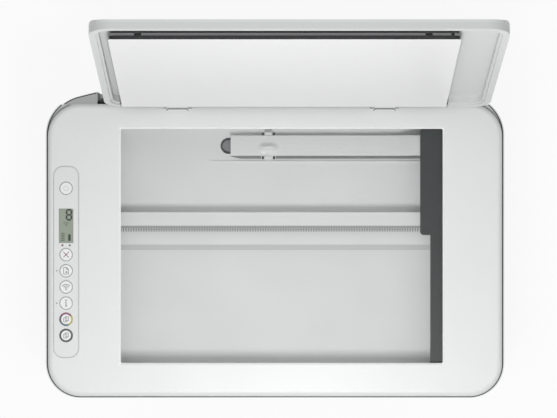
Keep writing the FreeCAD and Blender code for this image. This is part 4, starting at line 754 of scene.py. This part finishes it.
case_low, case_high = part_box("main_housing")
bezel_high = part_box("scanner_bezel")[1]
half = case_high.x / MM
deck_rear = bezel_high.y / MM
bow = half ** 2 / (2 * BOW_DEPTH)
bow_middle = case_high.y / MM - bow
corner_x = half - REAR_CORNER
corner_y = bow_middle + math.sqrt((bow - REAR_CORNER) ** 2 - corner_x ** 2)
near_x = half - COVER_SIDE - COVER_CORNER
near_y = case_low.y / MM + COVER_FRONT + COVER_CORNER
seam_radius = REAR_CORNER - SIDE_GAP
seam_turn = math.degrees(math.asin((deck_rear - DECK_LAP - corner_y) / seam_radius))
seam_path = np.vstack([ring(seam_radius, 180 - seam_turn, 180) + (-corner_x, corner_y),
                       ring(COVER_CORNER + COVER_GAP, 180, 270) + (-near_x, near_y),
                       ring(COVER_CORNER + COVER_GAP, 270, 360) + (near_x, near_y),
                       ring(seam_radius, 0, seam_turn) + (corner_x, corner_y)])
# Dark strips in the seams stand in for the seams' shade: painted shade.
seam_shade_rubber = rubber("seam_shade_rubber", SEAM_SHADE_BLACK)
seam("cover_seam_shade", (0, 0, bezel_high.z - COVER_HEIGHT), [seam_path], seam_shade_rubber, width=1.0)
deck_radius = REAR_CORNER - DECK_INSET
deck_bow = bow - DECK_INSET
deck_turn = math.degrees(math.asin((deck_rear + DECK_LAP - corner_y) / deck_radius))
corner_turn = 90 - math.degrees(math.asin(corner_x / (bow - REAR_CORNER)))
notch_turn = math.degrees(math.acos(NOTCH_X / deck_bow))
deck_edge = np.vstack([ring(deck_radius, deck_turn, corner_turn) + (corner_x, corner_y),
                       ring(deck_bow, corner_turn, notch_turn)[1:] + (0, bow_middle)])
seam("deck_seam_shade", (0, 0, case_high.z), [deck_edge, deck_edge * (-1, 1)], seam_shade_rubber, width=0.8)
hinge_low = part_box("hinge_brackets")[0]
bracket_line = run((-10.4, -2.0), (-8.2, -0.5), (8.2, -0.5), (10.4, -2.0))
# Dark lines at the hinge brackets are painted shade in the gaps.
for side, x in HINGES.items():
    seam(f"hinge_gap_shade_{side}", (x * MM, hinge_low.y, bezel_high.z), [bracket_line], dark_ink, width=0.6)

# Display. A green-grey liquid crystal behind a clear film, with a large seven-bar digit,
# a wireless sign and two ink gauges that are drawn in dark segments.
LCD_GREEN = (0.30, 0.35, 0.28)
SEGMENT_DARK = (0.030, 0.036, 0.030)
SEGMENT_FAINT = (0.11, 0.13, 0.10)
DIGIT_PLACE = (2.65, 10.1)
DIGIT_HALF = (2.2, 4.6)
BAR_GAP = 0.5
GAUGE_ENDS = (-4.6, -1.4)
GAUGE_FOOT = -13.4
GAUGE_PITCH = 1.6
GAUGE_BARS = 5
FULL_GAUGE = ((3.05, -13.9), (3.05, -7.9))
MARK_DROP = 18.0
MARK_DOT = 0.55
MARKS = {"color": (-3.4, red_ink), "black": (3.4, grey_ink)}
lcd_film = Finish("lcd_film", coat_weight=0.6)
lcd_cloud = lcd_film.noise(8 * MM)
lcd_film.feed("Base Color", lcd_film.tint(lcd_cloud, *drift(LCD_GREEN, spread=0.05)))
lcd_film.gloss(lcd_cloud, roughness=0.175, spread=0.05)
wear(lcd_film, "lcd_display")
lcd_spot = top_middle("lcd_display")


def display_sign(name, lines, finish, width):
    """Draw one sign of the display in raised segments."""
    sign(name, lcd_spot, lines, finish, "case", width)


segment_ink = ink("segment_ink", SEGMENT_DARK)
faint_ink = ink("faint_ink", SEGMENT_FAINT)
across_bar, up_bar = DIGIT_HALF
flat_bar = run((BAR_GAP - across_bar, 0), (across_bar - BAR_GAP, 0)) + DIGIT_PLACE
digit = [flat_bar + (0, rise) for rise in (-up_bar, 0, up_bar)]
digit += [run((side, way * BAR_GAP), (side, way * (up_bar - BAR_GAP))) + DIGIT_PLACE
          for side in (-across_bar, across_bar) for way in (-1, 1)]
display_sign("display_digit", digit, segment_ink, width=1.5)
display_sign("display_waves", wireless_waves((1.7, 3.2), dot=0.3, drop=0.2), faint_ink, width=0.5)
gauge_rises = [GAUGE_FOOT + GAUGE_PITCH * bar for bar in range(GAUGE_BARS)]
gauge = [run(*((end, rise) for end in GAUGE_ENDS)) for rise in gauge_rises]
display_sign("display_gauge_left", gauge, faint_ink, width=0.9)
display_sign("display_gauge_right", [run(*FULL_GAUGE)], segment_ink, width=2.2)
for mark, (x, finish) in MARKS.items():
    panel_sign("ink_mark_" + mark, lcd_spot, [ring(MARK_DOT) + (x, -MARK_DROP)], finish, width=0.8)

# Hinge brackets. Two small clevises moulded in grey plastic. They clip into the rear edge of
# the bezel and take the lid's pins.
BRACKET_GREY = (0.55, 0.56, 0.56)
wear(moulded("bracket_plastic", BRACKET_GREY, roughness=0.45), "hinge_brackets")

# Lid. A shallow white moulding with a stepped rim and a sloping front edge. Its inner frame and the
# low band of its rim are painted darker as painted shade of the stepped rim, up to a line round the
# edge.
LID_SHADE_GREY = (0.74, 0.75, 0.75)
LID_SHADE_RISE = 2.0 * MM
LID_FLOOR = 5.3 * MM
LID_RIM = 5.0 * MM
lid_joint = next(joint for joint in frame["joints"] if joint["name"] == "lid_hinge")
lid_pin = np.array(lid_joint["pos_m"])
lid_turn = math.radians(lid_joint["range_deg"][1])
across, upright = math.cos(lid_turn), math.sin(lid_turn)
opening = np.array([[1, 0, 0], [0, across, upright], [0, -upright, across]])


def closed_points(name):
    """The points of a lid piece as they lie about the hinge pin when the lid is shut."""
    mesh = frame["nodes"][name].data
    points = np.zeros(3 * len(mesh.vertices))
    mesh.vertices.foreach_get("co", points)
    return (points.reshape(-1, 3) - lid_pin) @ opening


lid_points = closed_points("lid_shell")
lid_plastic = moulded("lid_plastic", CASE_WHITE, roughness=0.36)
lid_back = lid_plastic.axis("Y") - lid_pin[1]
lid_rise = lid_plastic.axis("Z") - lid_pin[2]
lid_height = lid_back * upright + lid_rise * across
lid_reach = lid_back * across - lid_rise * upright
lid_low, lid_high = lid_points.min(axis=0), lid_points.max(axis=0)
inside_rim = lid_plastic.between("X", lid_low[0] + LID_RIM, lid_high[0] - LID_RIM)
inside_rim = inside_rim * (lid_reach > lid_low[1] + LID_RIM)
# The rim's low band and the floor inside the rim are painted darker: painted shade.
shaded_frame = (lid_height < LID_SHADE_RISE) + (lid_height < LID_FLOOR) * inside_rim
lid_plastic.paint(shaded_frame > 0.5, LID_SHADE_GREY)
wear(lid_plastic, "lid_shell")

# Lid pad. A stiff grey sheet is held by clips in the lid between two layers of dark sponge, and
# white film covers the lower one so that scans have a clean ground.
SPONGE_GREY = (0.050, 0.050, 0.052)
CARRIER_GREY = (0.20, 0.20, 0.205)
FILM_WHITE = (0.95, 0.95, 0.95)
SPONGE_GAP = 0.08 * MM
SPONGE_SHAPE = (0.03, 0.25)
SPONGE_GRID = (240, 33)
SPONGE_CELL = 0.9 * MM
wear(moulded("carrier_plastic", CARRIER_GREY, roughness=0.5), "pad_carrier")
pad_film = moulded("film_white", FILM_WHITE, roughness=0.4, grain=3 * MM, depth=0.004 * MM, spread=0.01)
wear(pad_film, "document_pad")


def power(wave, rate):
    """A wave raised to a power, with its sign kept."""
    return np.sign(wave) * np.abs(wave) ** rate


def rounded_slab(low, high):
    """A superellipsoid between two corners: small powers of sine and cosine give flat faces,
    square corners in plan and softly bulging edges."""
    turn = np.linspace(0, 2 * math.pi, SPONGE_GRID[0], endpoint=False)[None, :]
    tip = np.linspace(-math.pi / 2, math.pi / 2, SPONGE_GRID[1])[:, None]
    plan, edge = SPONGE_SHAPE
    reach = power(np.cos(tip), edge * plan)
    unit = np.stack([reach * power(np.cos(turn), plan), reach * power(np.sin(turn), plan),
                     power(np.sin(tip), edge) * np.ones_like(turn)], axis=-1)
    return (low + high) / 2 + unit * (high - low) / 2


def smooth(piece):
    """Shade a piece as one rounded surface."""
    piece.data.polygons.foreach_set("use_smooth", np.ones(len(piece.data.polygons), bool))


foam_closed = closed_points("pad_foam")
floors = np.unique(np.round(foam_closed[:, 2], 5))  # the heights of the layers' faces
foam_low, foam_high = foam_closed.min(axis=0), foam_closed.max(axis=0)
sponge_points, sponge_faces = [], []
slab_faces = grid_faces(SPONGE_GRID[1], SPONGE_GRID[0], closed_columns=True)
for layer, (base, top) in enumerate(((floors[0], floors[1]), (floors[-2], floors[-1]))):
    slab = rounded_slab(np.array([foam_low[0], foam_low[1], base + SPONGE_GAP]),
                        np.array([foam_high[0], foam_high[1], top - SPONGE_GAP]))
    sponge_points.append(slab.reshape(-1, 3) @ opening.T + lid_pin)
    sponge_faces.append(slab_faces + layer * SPONGE_GRID[0] * SPONGE_GRID[1])
sponge_foam = Finish("sponge_foam")
cells = sponge_foam.node("ShaderNodeTexVoronoi", {},
                         {"Vector": sponge_foam.place(), "Scale": 1 / SPONGE_CELL}, "Distance")
sponge_foam.feed("Base Color", sponge_foam.tint(cells, *drift(SPONGE_GREY, spread=0.35)))
sponge_foam.gloss(cells, roughness=0.9, spread=0.1)
sponge_foam.relief(cells, depth=0.25 * MM)
sponge = add_piece("pad_sponge", np.vstack(sponge_points), np.vstack(sponge_faces),
                   sponge_foam, "lid")
smooth(sponge)
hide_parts("pad_foam")

# Studio. A pale floor that keeps a soft shadow, a soft lamp over the front edge, a broad one high
# above, and a long lens straight over the glass.
FLOOR_HALF = 6.0
FLOOR_PALE = (0.88, 0.88, 0.88)
FLOOR_GLOW = 0.9
AMBIENT = 0.46
LENS = 178.6
SENSOR = 36.0
EYE = (0.0032, 0.0088, 2.69)
FAR = 40.0
floor_mesh = bpy.data.meshes.new("studio_floor")
corner = FLOOR_HALF * np.array([(-1, -1, 0), (1, -1, 0), (1, 1, 0), (-1, 1, 0)], float)
floor_mesh.from_pydata(corner.tolist(), [], [(0, 1, 2, 3)])
floor = bpy.data.objects.new("studio_floor", floor_mesh)
bpy.context.scene.collection.objects.link(floor)
paper = Finish("floor_paper", base_color=(*FLOOR_PALE, 1), roughness=0.9)
floor_mesh.materials.append(paper.material)


def seen_directly(finish):
    """1 for rays that go straight, by mirror or through glass to the eye."""
    camera = finish.node("ShaderNodeLightPath", {}, {}, "Is Camera Ray")
    mirror = finish.node("ShaderNodeLightPath", {}, {}, "Is Glossy Ray")
    through = finish.node("ShaderNodeLightPath", {}, {}, "Is Transmission Ray")
    return (camera + mirror + through) > 0.5


glow = paper.node("ShaderNodeEmission", {}, {"Color": (1, 1, 1, 1), "Strength": 1.0})
matt_paper = Value(paper, paper.shader.outputs[0])
surface = paper.node("ShaderNodeMixShader", {},
                     {0: seen_directly(paper) * FLOOR_GLOW, 1: matt_paper, 2: glow})
paper.tree.links.new(surface.socket, paper.tree.nodes["Material Output"].inputs["Surface"])

world = bpy.data.worlds.new("studio_air")
bpy.context.scene.world = world
world.use_nodes = True
sky = world.node_tree.nodes["Background"]
sky.inputs["Color"].default_value = (1, 1, 1, 1)
sky.inputs["Strength"].default_value = AMBIENT


def lamp(name, place, target, power, size):
    """A square soft box aimed at a point."""
    light = bpy.data.lights.new(name, "AREA")
    light.energy = power
    light.size = size
    made = bpy.data.objects.new(name, light)
    made.location = place
    aim = Vector(target) - made.location
    made.rotation_euler = aim.to_track_quat("-Z", "Y").to_euler()
    bpy.context.scene.collection.objects.link(made)


lamp("front_soft_box", place=(0.02, -0.30, 0.85), target=(0.0, -0.05, 0.1), power=2.85, size=0.2)
lamp("top_soft_box", place=(-0.4, 0.6, 3.6), target=(0, 0, 0.1), power=5, size=2.2)

eye = bpy.data.cameras.new("overhead_camera")
eye.lens = LENS
eye.sensor_width = SENSOR
eye.clip_end = FAR
camera = bpy.data.objects.new("overhead_camera", eye)
camera.location = EYE
bpy.context.scene.collection.objects.link(camera)
bpy.context.scene.camera = camera
bpy.context.scene.view_settings.view_transform = "Standard"
